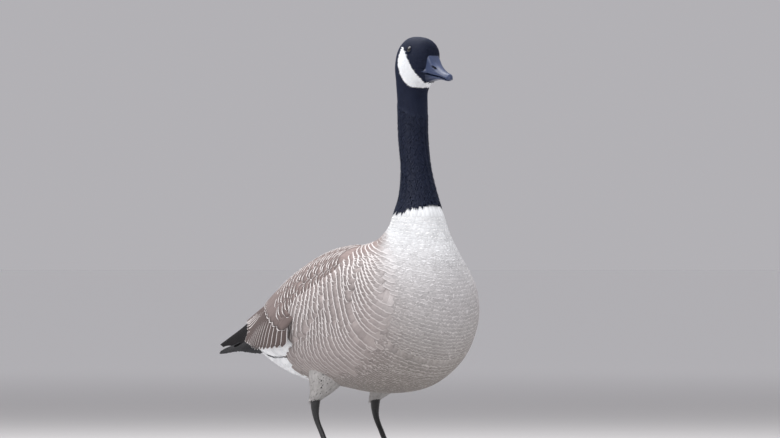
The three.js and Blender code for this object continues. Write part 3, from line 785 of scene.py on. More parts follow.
def in_patch(x, z, corners):
    """How far inside a polygon each point lies, negative outside it, in millimetres."""
    corners = np.array(corners, float)
    inside = np.zeros(x.shape, bool)
    nearest = np.full(x.shape, 1e9)
    for (ax, az), (bx, bz) in zip(corners, np.roll(corners, -1, axis=0)):
        crosses = ((az > z) != (bz > z)) & (x < (bx - ax) * (z - az) / (bz - az + 1e-12) + ax)
        inside ^= crosses
        length = (bx - ax) ** 2 + (bz - az) ** 2
        t = np.clip(((x - ax) * (bx - ax) + (z - az) * (bz - az)) / length, 0, 1)
        nearest = np.minimum(nearest, np.hypot(x - ax - t * (bx - ax), z - az - t * (bz - az)))
    return np.where(inside, nearest, -nearest)


def linear(color):
    return np.array(color[:3], float)


def blend_colors(share, a, b):
    share = np.asarray(share, float)[..., None]
    return a * (1 - share) + b * share


# Where the brown of the coat begins, in cuts by the bend, and the bends between which its edge softens.
# Towards the belly the brown partly stands in for painted shade under the body.
BROWN_BEND = (0.0, 0.3, 0.38, 0.47, 0.52, 0.6, 0.7, 0.8, 1.0)
BROWN_CUT = (13.4, 13.3, 13.45, 14.05, 14.6, 15.3, 16.0, 16.4, 16.6)
BROWN_SOFT = {"back": 0.55, "more": 1.1, "bend": (0.35, 0.65)}
# Where one tone gives way to the next, by the bend or the cut.
# The belly's colour is partly its own grey-brown and partly painted shade under the body.
MANTLE_BEND, BELLY_AND_SHADE_BEND, UNBARRED_BEND = (0.42, 0.3), (0.6, 0.9), (0.5, 0.75)
# The breast's white at its top, fading to cream between these cuts, is partly painted light from above.
CREAM_CUT = (12.0, 15.5)
COLLAR = {"cut": 12.1, "rise": 0.6, "bend": (0.4, 0.95)}
# The first white rows, below and on the rump, and the bends between which the line climbs.
VENT_ROW, RUMP_ROW, VENT_BEND = 18.65, 21.6, (0.38, 0.48)


def vent_share(s, angle, ragged):
    """1 on the white of the vent and of the tail's coverts, 0 ahead of it."""
    line = RUMP_ROW + (VENT_ROW - RUMP_ROW) * smoothstep(*VENT_BEND, bend_share(angle))
    return (body.cut(row_of(s, angle)) + 0.05 * ragged > line).astype(float)


def plumage(s, angle, ragged):
    """The colours of a feather's middle and fringe, by the place it shows at and a random number each."""
    colors = bpy.context.scene.goose_colors
    black, white, belly = linear(colors.black), linear(colors.white), linear(colors.belly)
    cut = body.cut(s)
    bend = bend_share(angle)
    soft = BROWN_SOFT["back"] + BROWN_SOFT["more"] * smoothstep(*BROWN_SOFT["bend"], bend)
    line = np.interp(bend, BROWN_BEND, BROWN_CUT)
    brownness = smoothstep(-soft, soft, cut - line + 0.08 * ragged)
    brown = blend_colors(smoothstep(*MANTLE_BEND, bend), linear(colors.brown), linear(colors.back))
    # Towards the belly the brown turns into the belly's colour, which holds painted shade.
    brown = blend_colors(smoothstep(*BELLY_AND_SHADE_BEND, bend), brown, belly)
    # Whiter towards the top of the breast: partly painted light from above.
    front = blend_colors(smoothstep(*CREAM_CUT, cut), white, linear(colors.cream))
    centre = blend_colors(brownness, front, brown)
    edge = blend_colors(brownness, centre * 1.06, linear(colors.pale_edge))
    edge = blend_colors(0.75 * smoothstep(*UNBARRED_BEND, bend), edge, centre * 1.1)
    collar = COLLAR["cut"] - COLLAR["rise"] * smoothstep(*COLLAR["bend"], bend) + 0.07 * ragged
    place = body.plain(s, angle)
    cheek = in_patch(place[..., 0], place[..., 2], CHEEK_PATCH) + 0.5 * ragged > 0
    for share, middle, fringe in (
        (vent_share(s, angle, ragged), white, white),
        ((cut < collar) & ~cheek, black, black * 1.2),
        (cheek, white, white),
    ):
        centre = blend_colors(share, centre, middle)
        edge = blend_colors(share, edge, fringe)
    return centre, edge


# Feathers.
class Vane:
    """One feather, modelled flat and read as numbers: x from -1 to 1 across, y from 0 at the root to 1 at
    the tip. It keeps its width as far as blunt, bows back at its sides, and narrows to the shares root and
    tip."""

    def __init__(self, name, across, along, blunt, bow, root=0.45, tip=0.5):
        clear_selection()
        bpy.ops.mesh.primitive_grid_add(x_subdivisions=across, y_subdivisions=along, size=2)
        template = bpy.context.object
        template.name = name
        for vertex in template.data.vertices:
            vertex.co.y = (vertex.co.y + 1) / 2
        flat = self.read(template)
        self.shape_in_edit_mode(template, blunt, root, tip)
        shaped = self.read(template)
        bpy.data.objects.remove(template)
        order = np.lexsort((flat[:, 0], flat[:, 1].round(4)))
        self.flat = flat[order]
        self.u, self.v = shaped[order, 0], shaped[order, 1]
        self.v = self.v - bow * self.flat[:, 0] ** 2 * self.flat[:, 1]
        self.columns = len(np.unique(self.flat[:, 0].round(4)))
        self.levels = np.unique(self.flat[:, 1].round(4))
        self.rows = len(self.flat) // self.columns
        self.faces, self.under = self.both_faces()
        self.rim = self.rim_edges()

    @staticmethod
    def read(piece):
        return np.array([v.co for v in piece.data.vertices], float)

    @staticmethod
    def shape_in_edit_mode(template, blunt, root, tip):
        """Narrows the grid row by row, towards the root and round the tip."""
        make_active(template)
        rows = sorted({round(v.co.y, 4) for v in template.data.vertices})
        bpy.ops.object.mode_set(mode="EDIT")
        shape = bmesh.from_edit_mesh(template.data)
        for row in rows:
            for vertex in shape.verts:
                vertex.select_set(abs(vertex.co.y - row) < 1e-3)
            shape.select_flush_mode()
            bmesh.update_edit_mesh(template.data)
            fill = root + (1 - root) * float(smoothstep(0.0, 0.4, row))
            close = max((row - blunt) / (1 - blunt), 0.0)
            fill *= tip + (1 - tip) * math.sqrt(max(1 - close * close, 0.0))
            bpy.ops.transform.resize(value=(fill, 1, 1), center_override=(0, row, 0))
        bpy.ops.object.mode_set(mode="OBJECT")

    def both_faces(self):
        """Quads of the upper face, and the plain underside that closes it from rim to rim."""
        grid = self.numbered()
        upper = np.stack([grid[:-1, :-1], grid[:-1, 1:], grid[1:, 1:], grid[1:, :-1]], -1).reshape(-1, 4)
        under = list(np.stack([grid[:-1, 0], grid[1:, 0], grid[1:, -1], grid[:-1, -1]], -1))
        for end in (grid[0], grid[-1, ::-1]):
            for j in range(1, len(end) - 1):
                under.append((end[0], end[j + 1], end[j], end[j]))
        return upper, np.array(under)

    def rim_edges(self):
        """Pairs of neighbouring points round the outline, the lower number first."""
        grid = self.numbered()
        sides = [grid[0], grid[-1], grid[:, 0], grid[:, -1]]
        return np.concatenate([np.stack([side[:-1], side[1:]], -1) for side in sides])

    def numbered(self):
        return np.arange(self.rows * self.columns).reshape(self.rows, self.columns)


class Coat:
    """Gathers feathers that are laid on surfaces and joins them into one piece."""

    patch = 0.003

    def __init__(self, name, seed):
        self.name = name
        self.random = np.random.default_rng(seed)
        self.points, self.upper, self.under, self.rims = [], [], [], []
        self.vane_uv, self.bake_uv, self.marks = [], [], []
        self.count = 0

    def jitter(self, count, share):
        return 1 + self.random.normal(0, share, count)

    def lay(self, surface, vane, shafts, width, colours, bake, rise=0.7, sink=1.2, power=0.8, crest=0.03,
            roll=0.0, ragged=0.02, mirror=False, wave=0.0, band=1.0):
        """Lays a feather along each shaft, bent to the surface. Its root is sunk and its tip stands proud,
        its shaft is a crest, a roll turns one of its sides up, and its tip is ragged and waved."""
        n = len(shafts.length)
        if n == 0:
            return
        column = lambda value: np.broadcast_to(np.asarray(value, float), (n,))[None, :, None]
        grid = lambda values: values.reshape(vane.rows, vane.columns)[:, None, :]
        _, along, across, normal = surface_frame(surface, shafts.a, shafts.b)
        out = np.cross(normal, shafts.lie)[:, :, None]
        fray = self.random.normal(0, 1, (vane.rows, n, vane.columns)) * ragged * grid(vane.flat[:, 1]) ** 6
        u, v = grid(vane.u), grid(vane.v) + fray
        ahead = (v - vane.levels[:, None, None]) * column(shafts.length)
        step = shafts.lie[:, :, None] * ahead[..., None] + out * (u * column(width) / 2)[..., None]
        da, db = travel(along[:, :, None], across[:, :, None], step)
        place, _, _, up = surface_frame(surface, shafts.a[..., None] + da, shafts.b[..., None] + db)
        share = np.clip(v, 0, 1.1)
        high = (column(rise) + column(sink)) * share ** power - column(sink)
        high = high + column(width) * crest * (1 - u ** 2) * smoothstep(0, 0.3, share)
        high = high - u * column(width) * column(roll) * share
        high = high + wave * np.sin(u * 5 + column(self.random.uniform(0, 6, n))) * share ** 3
        points = (place + up * high[..., None]).transpose(1, 0, 2, 3)
        self.add_points(vane, n, points * [1, -1, 1] if mirror else points, mirror)
        self.add_marks(vane, n, shafts.length, width, colours, bake, band)

    def add_points(self, vane, n, points, mirror):
        each = vane.rows * vane.columns
        start = (np.arange(n) * each)[:, None, None] + self.count
        order = [0, 1, 2, 3] if mirror else [0, 3, 2, 1]
        self.points.append(in_frame(points.reshape(-1, 3)))
        self.upper.append((vane.faces[None] + start).reshape(-1, 4)[:, order])
        self.under.append((vane.under[None] + start).reshape(-1, 4)[:, order])
        self.rims.append((vane.rim[None] + start).reshape(-1, 2))
        self.count += n * each

    def add_marks(self, vane, n, length, width, colours, bake, band):
        tile = np.stack([(vane.flat[:, 0] + 1) / 2, vane.flat[:, 1]], -1)
        self.vane_uv.append(np.broadcast_to(tile, (n, *tile.shape)).reshape(-1, 2))
        spots = np.stack(np.broadcast_arrays(*bake), -1)[:, None]
        patch = (tile - [0.5, 0.0]) * self.patch
        self.bake_uv.append(np.clip(spots * 0.99 + 0.005 + patch, 0, 1).reshape(-1, 2))
        tone = np.clip(self.random.normal(0, 0.5, n), -1.2, 1.2)
        wide = lambda value, columns: np.broadcast_to(np.asarray(value, float), (n, columns))
        flat = lambda value: np.broadcast_to(np.asarray(value, float), (n,))[:, None]
        colours = [wide(colour, 3) for colour in colours]
        marks = [*colours, flat(length) * MM, flat(width) * MM, flat(tone), flat(band)]
        self.marks.append(np.repeat(np.concatenate(marks, -1), vane.rows * vane.columns, axis=0))

    def join(self):
        """One mesh of all that was laid. The rims are sharp, so no shading runs round a feather's edge."""
        upper = np.concatenate(self.upper)
        under = np.concatenate(self.under)
        mesh = bpy.data.meshes.new(self.name)
        faces = [tuple(face) for face in upper] + [tuple(dict.fromkeys(face)) for face in under]
        mesh.from_pydata(np.concatenate(self.points), [], faces)
        mesh.polygons.foreach_set("use_smooth", np.arange(len(mesh.polygons)) < len(upper))
        ends = np.zeros(2 * len(mesh.edges), np.int32)
        mesh.edges.foreach_get("vertices", ends)
        ends = np.sort(ends.reshape(-1, 2).astype(np.int64), axis=1)
        rims = np.concatenate(self.rims).astype(np.int64)
        sharp = np.isin(ends[:, 0] * self.count + ends[:, 1], rims[:, 0] * self.count + rims[:, 1])
        mesh.attributes.new("sharp_edge", "BOOLEAN", "EDGE").data.foreach_set("value", sharp)
        corner = np.zeros(len(mesh.loops), np.int32)
        mesh.loops.foreach_get("vertex_index", corner)
        for name, values in (("Vane", self.vane_uv), ("OFBake", self.bake_uv)):
            layer = mesh.uv_layers.new(name=name)
            layer.data.foreach_set("uv", np.concatenate(values)[corner].astype(np.float32).ravel())
        marks = np.concatenate(self.marks)
        write_marks(mesh, marks[:, :3], marks[:, 3:6], marks[:, 6:9], marks[:, 9:])
        return in_scene(mesh)


def write_marks(mesh, centre, edge=0.0, size=0.0, band=1.0):
    """Stores on the points the colours of the middle and the fringe, the feather's length, width and own
    tone, and as the fringe's alpha how strong the dark band inside it is."""
    spread = lambda value, columns: np.broadcast_to(np.asarray(value, float), (len(mesh.vertices), columns))
    for name, color, alpha in (("centre", centre, 1.0), ("edge", edge, band)):
        layer = mesh.color_attributes.new(name=name, type="FLOAT_COLOR", domain="POINT")
        rgba = np.concatenate([np.clip(spread(color, 3), 0, 1), spread(alpha, 1)], -1)
        layer.data.foreach_set("color", rgba.astype(np.float32).ravel())
    layer = mesh.attributes.new("size", "FLOAT_VECTOR", "POINT")
    layer.data.foreach_set("vector", spread(size, 3).astype(np.float32).ravel())


# How far down the wing's face shows, by how far along the wing: the flank lies over its lower edge in front,
# and behind the flank the secondaries hang down over the vent.
SHOWN_ALONG = (0.0, 0.22, 0.318, 0.338, 0.362, 0.37, 0.474, 0.6, 0.756, 0.85, 1.0)
SHOWN_ACROSS = (0.9, 0.93, 0.985, 1.08, 1.31, 1.32, 1.14, 1.0, 0.85, 0.6, 0.4)
SHOWN_FROM = {"along": 0.05, "across": 0.04, "to": 0.995, "within": 40}


def wing_cover():
    """Finds which places on the body the folded wings hide."""
    along, across = np.meshgrid(np.linspace(0.0, 1.0, 160), np.linspace(0.0, 1.5, 90), indexing="ij")
    along, across = along.ravel(), across.ravel()
    tree = search_tree(wing.at(along, across) * [1, -1, 1])

    def hidden(places, lap=0.0):
        found = [tree.find((x, abs(y), z)) for x, y, z in places]
        at = np.array([i for _, i, _ in found])
        near = np.array([distance for _, _, distance in found]) < SHOWN_FROM["within"]
        down = across[at] < np.interp(along[at], SHOWN_ALONG, SHOWN_ACROSS) - lap
        on = (along[at] > SHOWN_FROM["along"]) & (along[at] < SHOWN_FROM["to"])
        return on & (across[at] > SHOWN_FROM["across"]) & down & near

    return hidden


def coat_places(first, last, step_at, apart_at, wanted_at, random, loose=0.03, lead=0.0):
    """Roots for feathers in staggered rows: their distance and angle, the way they point, the rows' spacing
    and the row's own distance. Where rows stand too far apart there are one or three more between them."""
    found = []
    row, end, number = float(body.at_cut(first)) - lead, float(body.at_cut(last)), 0
    ladder = np.linspace(-math.pi, math.pi, 721)
    middle = (ladder[1:] + ladder[:-1]) / 2
    nudge = 0.01
    while row < end:
        on_row = lambda angle: coat.at(row_place(row, angle), angle)
        step = float(step_at(body.cut(row)))
        gone = np.linalg.norm(np.diff(on_row(ladder), axis=0), axis=-1)
        count = np.concatenate([[0], np.cumsum(gone / apart_at(body.cut(row), bend_share(middle)))])
        total = max(round(count[-1]), 3)
        angle = np.interp((np.arange(total) + number * 0.618 % 1) / total * count[-1], count, ladder)
        angle = angle + random.normal(0, loose, total) * math.tau / total
        s = row_place(row, angle)
        here, along, _, normal = surface_frame(coat, s, angle)
        forward = unit(along)
        sideways = np.cross(normal, forward)
        line = on_row(angle + nudge) - on_row(angle - nudge)
        ahead, aside = (line * forward).sum(-1), (line * sideways).sum(-1)
        flow = np.arctan2(-ahead * np.sign(aside), np.abs(aside))
        lie = forward * np.cos(flow)[:, None] + sideways * np.sin(flow)[:, None]
        spacing = np.abs(((coat.at(row_place(row + step, angle), angle) - here) * lie).sum(-1))
        wanted = wanted_at(body.cut(row), bend_share(angle))
        parts = np.where(spacing > 2.8 * wanted, 4, np.where(spacing > 1.4 * wanted, 2, 1))
        s = s + random.normal(0, loose, total) * step
        places = np.stack([s, angle, flow, spacing / parts, np.full(total, row)], -1)
        found.append(places[number % (4 // parts) == 0])
        row += step / 4
        number += 1
    return np.concatenate(found).T


def round_uv(s, angle, first, last):
    """A place on the unwrapped skin between two cuts, each from 0 to 1."""
    low, high = body.at_cut(first), body.at_cut(last)
    return np.mod(angle / math.tau + 0.5, 1.0), np.clip((s - low) / (high - low), 0, 1)


class GOOSE_OT_skin(bpy.types.Operator):
    """One closed skin for the head, neck, body, thighs and the arms of the wings, inside the coat"""

    bl_idname = "goose.skin"
    bl_label = "Skin"

    def execute(self, context):
        form = context.scene.goose_form
        depth = form.coat_depth / MM
        head, neck = body.at_cut(0), body.at_cut(CUT_NECK)
        collar, tail = body.at_cut(CUT_COLLAR), body.at_cut(CUT_TAIL)
        rings = [np.linspace(head, neck, 56, endpoint=False), np.linspace(neck, collar, 44, endpoint=False)]
        s, angle = round_grid(np.concatenate([*rings, np.linspace(collar, tail, 90)]), 96)
        place, _, _, normal = surface_frame(coat, s, angle)
        inset = np.where(body.cut(s) < CUT_COLLAR, depth * 0.35, depth)
        inset = inset * smoothstep(0, 12, s) + 0.3
        skin = loft("skin", place - normal * inset[..., None])
        for side, sign in SIDES:
            cut_or_join(skin, self.thigh(side, sign, depth), "UNION")
            cut_or_join(skin, self.wing_arm(side, sign), "UNION")
            cut_or_join(skin, self.lid(sign), "UNION")
            cut_or_join(skin, self.socket(sign), "DIFFERENCE")
        self.mark(skin)
        make_active(skin)
        bpy.ops.object.shade_smooth_by_angle(angle=math.radians(50))
        finish_piece(skin, skin_material(), "plumage_brown", "head", "neck_upper", "neck_lower", "breast",
                     "torso", "rump", "thigh_right", "thigh_left")
        return {"FINISHED"}

    def thigh(self, side, sign, depth):
        limb = thigh_surface(sign)
        s, angle = round_grid(np.linspace(0, limb.length - 1.0, 16), 32)
        place, _, _, normal = surface_frame(limb, s, angle)
        return loft(f"thigh skin {side}", place - normal * min(depth, 2.5))

    def wing_arm(self, side, sign):
        rows, columns = np.meshgrid(np.linspace(0, 1, 26), np.linspace(0.02, 0.98, 14), indexing="ij")
        end = WING_CORE["to"] - WING_CORE["back"] * columns ** 2
        along = WING_CORE["from"] + (end - WING_CORE["from"]) * rows
        place, _, _, normal = surface_frame(wing, along, columns)
        swell = np.sqrt(np.sin(math.pi * columns) * np.sin(math.pi * rows).clip(0))
        thick = WING_CORE["edge"] + (WING_CORE["thick"] - WING_CORE["edge"]) * swell
        outer = place - normal * WING_CORE["under"]
        inner = place - normal * (WING_CORE["under"] + thick)[..., None]
        ring = np.concatenate([outer, inner[:, ::-1]], axis=1)
        return loft(f"wing arm {side}", ring * [1, -sign, 1] if sign > 0 else ring)

    def lid(self, sign):
        """The bare rim of the eyelids, a little narrower at its two corners."""
        clear_selection()
        bpy.ops.mesh.primitive_torus_add(major_radius=EYE["opening"] * MM, minor_radius=EYE["lid"] * MM,
                                         major_segments=40, minor_segments=12)
        lid = bpy.context.object
        lid.scale = EYE["lid_shape"]
        set_in_place(lid)
        place_on_head(lid, sign, 0.0)
        return lid

    def socket(self, sign):
        clear_selection()
        radius = (EYE["radius"] + EYE["gap"]) * MM
        bpy.ops.mesh.primitive_uv_sphere_add(segments=32, ring_count=20, radius=radius)
        ball = bpy.context.object
        place_on_head(ball, sign, EYE["inset"])
        return ball

    def mark(self, skin):
        """Gives the skin the coat's own colours, by the nearest place on the body."""
        ladder = np.linspace(-math.pi, math.pi, 121)
        s, angle = np.meshgrid(np.linspace(0, body.length, 300), ladder, indexing="ij")
        s, angle = s.ravel(), angle.ravel()
        tree = search_tree(in_frame(coat.at(s, angle)))
        nearest = np.array([tree.find(v.co)[1] for v in skin.data.vertices])
        write_marks(skin.data, *plumage(s[nearest], angle[nearest], np.zeros(len(nearest))))


def thigh_surface(sign):
    ahead = LEG_STAGGER * sign
    ovals = [
        (-138 + ahead, sign * LEG_APART, 178, 44, 34),
        (-152 + ahead, sign * LEG_APART, 142, 36, 29),
        (-168 + ahead, sign * LEG_APART, 120, 22, 18),
        (ANKLE["x"] + 2 + ahead, sign * LEG_APART, ANKLE["z"] + 8.6, 12, 10.5),
    ]
    return Limb(ovals)


def place_on_head(piece, sign, inward):
    """Sets a piece that was modelled round the Z axis over one eye, facing out, with the head's turn."""
    tilt = Matrix.Rotation(-sign * math.radians(EYE["tilt"]), 4, "X")
    at = np.array([EYE["x"], sign * (EYE["y"] - inward), EYE["z"]])
    place = turned(at[None])[0]
    turn = Matrix.Rotation(HEAD_TURN, 4, "Z")
    piece.matrix_world = Matrix.Translation(Vector(in_frame(place))) @ turn @ tilt
    set_in_place(piece)


BLUE_SHEEN = (0.3, 0.5, 1, 1)
# The neck's coat ends under the first feathers of the breast, and its soft furrows run down to these cuts.
NECK_END, FURROWS, FURROW_CUTS = 12.4, 19, (11, 10)


class GOOSE_OT_head_coat(bpy.types.Operator):
    """Short velvety feathers of the head, and the fine ones of the neck"""

    bl_idname = "goose.head_coat"
    bl_label = "Head and neck coat"

    def execute(self, context):
        form = context.scene.goose_form
        self.head(form)
        self.neck(form)
        return {"FINISHED"}

    def head(self, form):
        tuft = Vane("head tuft", 2, 3, 0.5, 0.2, root=0.6, tip=0.35)
        head = Coat("head_coat", form.seed)
        row = form.head_row / MM
        s, angle, flow, _, _ = coat_places(0.0, CUT_NECK, lambda c: row, lambda c, b: row * 0.95 + 0 * b,
                                           lambda c, b: row * 2 + 0 * b, head.random, loose=0.15, lead=1.5)
        place = body.plain(s, angle)
        eye = np.hypot(place[:, 0] - EYE["x"], place[:, 2] - EYE["z"])
        keep = eye > EYE["opening"] + 0.8
        s, angle, flow, eye = s[keep], angle[keep], flow[keep], eye[keep]
        grow = 0.75 + 0.5 * smoothstep(0, 106, s)
        ahead = place[keep, 0] > EYE["x"]
        short = np.where(ahead, np.clip((eye - EYE["opening"] - 0.3) / 6.0, 0.3, 1.0), 1.0)
        shafts = walk(coat, tuft.levels, s, angle, 5.2 * grow * short * head.jitter(len(s), 0.08), flow)
        colours = plumage(*shafts.at(0.8), head.random.normal(0, 0.6, len(s)))
        head.lay(coat, tuft, shafts, 2.3 * grow, colours, round_uv(s, angle, 0, CUT_NECK), rise=0.38,
                 sink=0.1 + 0.6 * smoothstep(0, 8, s), crest=0.03, ragged=0.1)
        velvet = feather_material("Velvet head feathers", fringe=0.0004, band=0.0, roughness=0.65, sheen=0.06,
                                  tint=BLUE_SHEEN)
        finish_piece(head.join(), velvet, "plumage_black")

    def neck(self, form):
        tuft = Vane("neck tuft", 2, 5, 0.4, 0.25, root=0.5, tip=0.25)
        neck = Coat("neck_coat", form.seed + 1)
        row = form.neck_row / MM
        s, angle, flow, _, _ = coat_places(CUT_NECK, NECK_END, lambda c: row, lambda c, b: row * 0.8 + 0 * b,
                                           lambda c, b: row * 2 + 0 * b, neck.random, loose=0.12)
        shafts = walk(coat, tuft.levels, s, angle, 10.5 * neck.jitter(len(s), 0.08), flow)
        ragged = neck.random.normal(0, 1, len(s))
        colours = plumage(*shafts.at(0.9), ragged)
        keep = colours[0].sum(-1) < 0.5
        shafts, s, angle = shafts.kept(keep), s[keep], angle[keep]
        colours = [colour[keep] for colour in colours]
        furrow = np.sin(angle * FURROWS + 0.035 * s + 0.8 * np.sin(s * 0.03)) * 0.5 + 0.5
        low, high = (body.knots[cut] for cut in FURROW_CUTS)
        furrow = furrow * smoothstep(low + 20, high, s)
        neck.lay(coat, tuft, shafts, 4.0, colours, round_uv(s, angle, CUT_NECK, NECK_END),
                 rise=0.6 + 1.0 * furrow, sink=0.8, crest=0.08, ragged=0.08)
        silk = feather_material("Silky neck feathers", fringe=0.0004, band=0.0, roughness=0.6, sheen=0.06,
                                tint=BLUE_SHEEN)
        finish_piece(neck.join(), silk, "plumage_black")


# Spacings on the body in millimetres, by the row's cut: of the rows, of the feathers in a row, and the
# spacing at which rows look right.
ROW_STEP = ((11.5, 4.8), (13, 5.2), (14, 5.4), (14.6, 6), (15.4, 8), (16, 10.5), (18.5, 11.5))
APART = ((11.5, 5.0), (14, 6.5), (15, 8.5), (18.5, 11.0))
WANTED = ((11.5, 5.4), (14, 7.0), (15, 9.0), (18.5, 11.0))
VENT_STEP = ((19, 8.5), (21, 8.5), (22, 7.5), (23, 6.5))
VENT_APART = ((19, 9.0), (21, 9.0), (22, 8.0), (23, 7.0))
BREAST_FROM, FLANK_TO, VENT_FROM = 11.5, 19.8, 18.2
# The soft feathers of the front take over from the broad ones between these bends.
FRONT_BEND = (0.66, 0.78)
# The first barred row on the back, how many cuts later it is below, and the bend at which the bars end.
BARRED = {"row": 13.5, "later": 0.9, "bend": (0.5, 0.7), "to": 0.69, "ragged": (0.05, 0.014)}
BAR_FADE = {"bend": (0.72, 0.5), "row": (13.2, 14.6), "least": 0.2, "more": 0.8}
# The last rows of the flank stand a little proud of the vent.
LAST_ROWS = ((18.0, 18.5), (18.9, 18.6))
THIGH = {"from": 8.0, "to": 3, "row": 3.2, "apart": 4.0, "girth": (200, 72), "length": (16.0, 4),
         "width": (6.5, 2.5)}


def by_cut(table, cut):
    cuts, values = zip(*table)
    return np.interp(cut, cuts, values)


class GOOSE_OT_body_coat(bpy.types.Operator):
    """The feathers of the breast, mantle, flanks, belly, vent and rump, in staggered rows"""

    bl_idname = "goose.body_coat"
    bl_label = "Body coat"

    def execute(self, context):
        form = context.scene.goose_form
        hidden = wing_cover()
        self.contour(form, hidden)
        self.vent(form, hidden)
        self.thighs(form, context.scene.goose_colors)
        return {"FINISHED"}

    def dress(self, piece, vane, places, hidden, wanted, length, width, lap=0.0, **style):
        """Lays the feathers of some rows, but for those under the wings and those that aren't wanted."""
        s, angle, flow, _, _ = places
        shafts = walk(coat, vane.levels, s, angle, length * piece.jitter(len(s), 0.012), flow)
        seen = shafts.at(0.85)
        ragged = piece.random.normal(0, 0.7, len(s))
        keep = ~hidden(body.plain(*shafts.at(1.0)), lap) & wanted(*seen, ragged)
        kept = lambda value: value[keep] if isinstance(value, np.ndarray) else value
        colours = [kept(colour) for colour in plumage(*seen, ragged)]
        spots = [kept(spot) for spot in round_uv(s, angle, BREAST_FROM, CUT_TAIL)]
        width = kept(width * piece.jitter(len(s), 0.03))
        style = {name: kept(value) for name, value in style.items()}
        piece.lay(coat, vane, shafts.kept(keep), width, colours, spots, **style)

    def contour(self, form, hidden):
        """The rows from the collar to the vent: soft and fine in front and below, else broad and barred."""
        flank = Coat("flank_coat", form.seed + 3)
        breast = Coat("breast_coat", form.seed + 2)
        scale = form.flank_row / 0.011
        fine = form.breast_row / MM
        in_front = lambda b: smoothstep(*FRONT_BEND, b)
        places = coat_places(
            BREAST_FROM,
            FLANK_TO,
            lambda c: scale * by_cut(ROW_STEP, c),
            lambda c, b: by_cut(APART, c) * (1 - in_front(b)) + fine * (1.2 * in_front(b)),
            lambda c, b: scale * by_cut(WANTED, c) * (1 - in_front(b)) + fine * in_front(b),
            flank.random,
            loose=0.015,
        )
        row = body.cut(places[4])
        bend = bend_share(places[1])
        ragged = flank.random.normal(0, 1, len(row))
        first = BARRED["row"] + BARRED["later"] * smoothstep(*BARRED["bend"], bend)
        first = first + BARRED["ragged"][0] * ragged
        barred = (row > first) & (bend < BARRED["to"] + BARRED["ragged"][1] * ragged)

        def shown(s, angle, ragged):
            centre, _ = plumage(s, angle, ragged)
            return (centre.sum(-1) > 0.3) & (vent_share(s, angle, ragged) < 0.5)

        (rise_from, rise_to), (fall_to, fall_from) = LAST_ROWS
        last = smoothstep(rise_from, rise_to, row) * smoothstep(fall_to, fall_from, row)
        bars = smoothstep(*BAR_FADE["bend"], bend) * smoothstep(*BAR_FADE["row"], row)
        bars = BAR_FADE["least"] + BAR_FADE["more"] * bars
        vane = Vane("flank feather", 6, 6, 0.84, 0.03, tip=0.8)
        gap = places[3, barred]
        self.dress(flank, vane, places[:, barred], hidden, shown, gap * 2.4 + 5, gap * 1.1 + 9,
                   rise=0.8 + 1.0 * last[barred], sink=1.4, crest=0.008, ragged=0.008, wave=0.1,
                   band=bars[barred])
        cloth = feather_material("Flank feathers", fringe=0.0016, band=0.45, roughness=0.78, sheen=0.05)
        finish_piece(flank.join(), cloth, "plumage_brown")

        vane = Vane("breast feather", 4, 5, 0.66, 0.06, tip=0.6)
        gap = places[3, ~barred]
        self.dress(breast, vane, places[:, ~barred], hidden, shown, gap * 2.8 + 6, gap * 1.0 + 6.5, rise=0.35,
                   sink=1.2, crest=0.002, ragged=0.05)
        cloth = feather_material("Breast feathers", fringe=0.0009, band=0.32, roughness=0.9, sheen=0.04,
                                 fleck=0.1)
        finish_piece(breast.join(), cloth, "plumage_pale")

    def vent(self, form, hidden):
        vent = Coat("vent_coat", form.seed + 4)
        vane = Vane("vent feather", 4, 6, 0.6, 0.2, tip=0.4)
        places = coat_places(
            VENT_FROM,
            CUT_TAIL,
            lambda c: by_cut(VENT_STEP, c),
            lambda c, b: by_cut(VENT_APART, c) + 0 * b,
            lambda c, b: 9 + 0 * b,
            vent.random,
            loose=0.08,
        )
        places = places[:, places[0] < body.length - 12]
        room = body.length + 8 - places[0]
        white = lambda s, angle, ragged: vent_share(s, angle, ragged) > 0.5
        self.dress(vent, vane, places, hidden, white, np.minimum(27.0, room), 13 + 0 * room, lap=0.25,
                   rise=0.7, sink=1.4, crest=0.02, ragged=0.05)
        cloth = feather_material("White vent feathers", fringe=0.001, band=0.03, roughness=0.85, sheen=0.08)
        finish_piece(vent.join(), cloth, "plumage_white")

    def thighs(self, form, colors):
        thighs = Coat("thigh_coat", form.seed + 5)
        vane = Vane("thigh feather", 2, 5, 0.5, 0.2, tip=0.35)
        # The thighs take the belly's colour, with its painted shade, lightened towards white.
        middle = blend_colors(0.3, linear(colors.belly), linear(colors.white))
        for _, sign in SIDES:
            limb = thigh_surface(sign)
            found = []
            s, number = THIGH["from"], 0
            while s < limb.length - THIGH["to"]:
                girth = np.interp(s, [0, limb.length], THIGH["girth"])
                around = max(round(girth / THIGH["apart"]), 8)
                angle = (np.arange(around) + 0.5 * (number % 2)) / around * math.tau
                found.append(np.stack([np.full(around, s), angle], -1))
                s += THIGH["row"]
                number += 1
            s, angle = np.concatenate(found).T
            share = s / limb.length
            length, width = (start - less * share for start, less in (THIGH["length"], THIGH["width"]))
            shafts = walk(limb, vane.levels, s, angle, length * thighs.jitter(len(s), 0.06))
            u = angle / math.tau * 0.48 + (0.51 if sign > 0 else 0.0)
            thighs.lay(limb, vane, shafts, width, (middle, middle * 1.06), (u, share), rise=0.2, sink=0.8,
                       crest=0.0, ragged=0.14)
        cloth = feather_material("Thigh feathers", fringe=0.0006, band=0.04, roughness=0.88, sheen=0.08)
        finish_piece(thighs.join(), cloth, "plumage_brown")


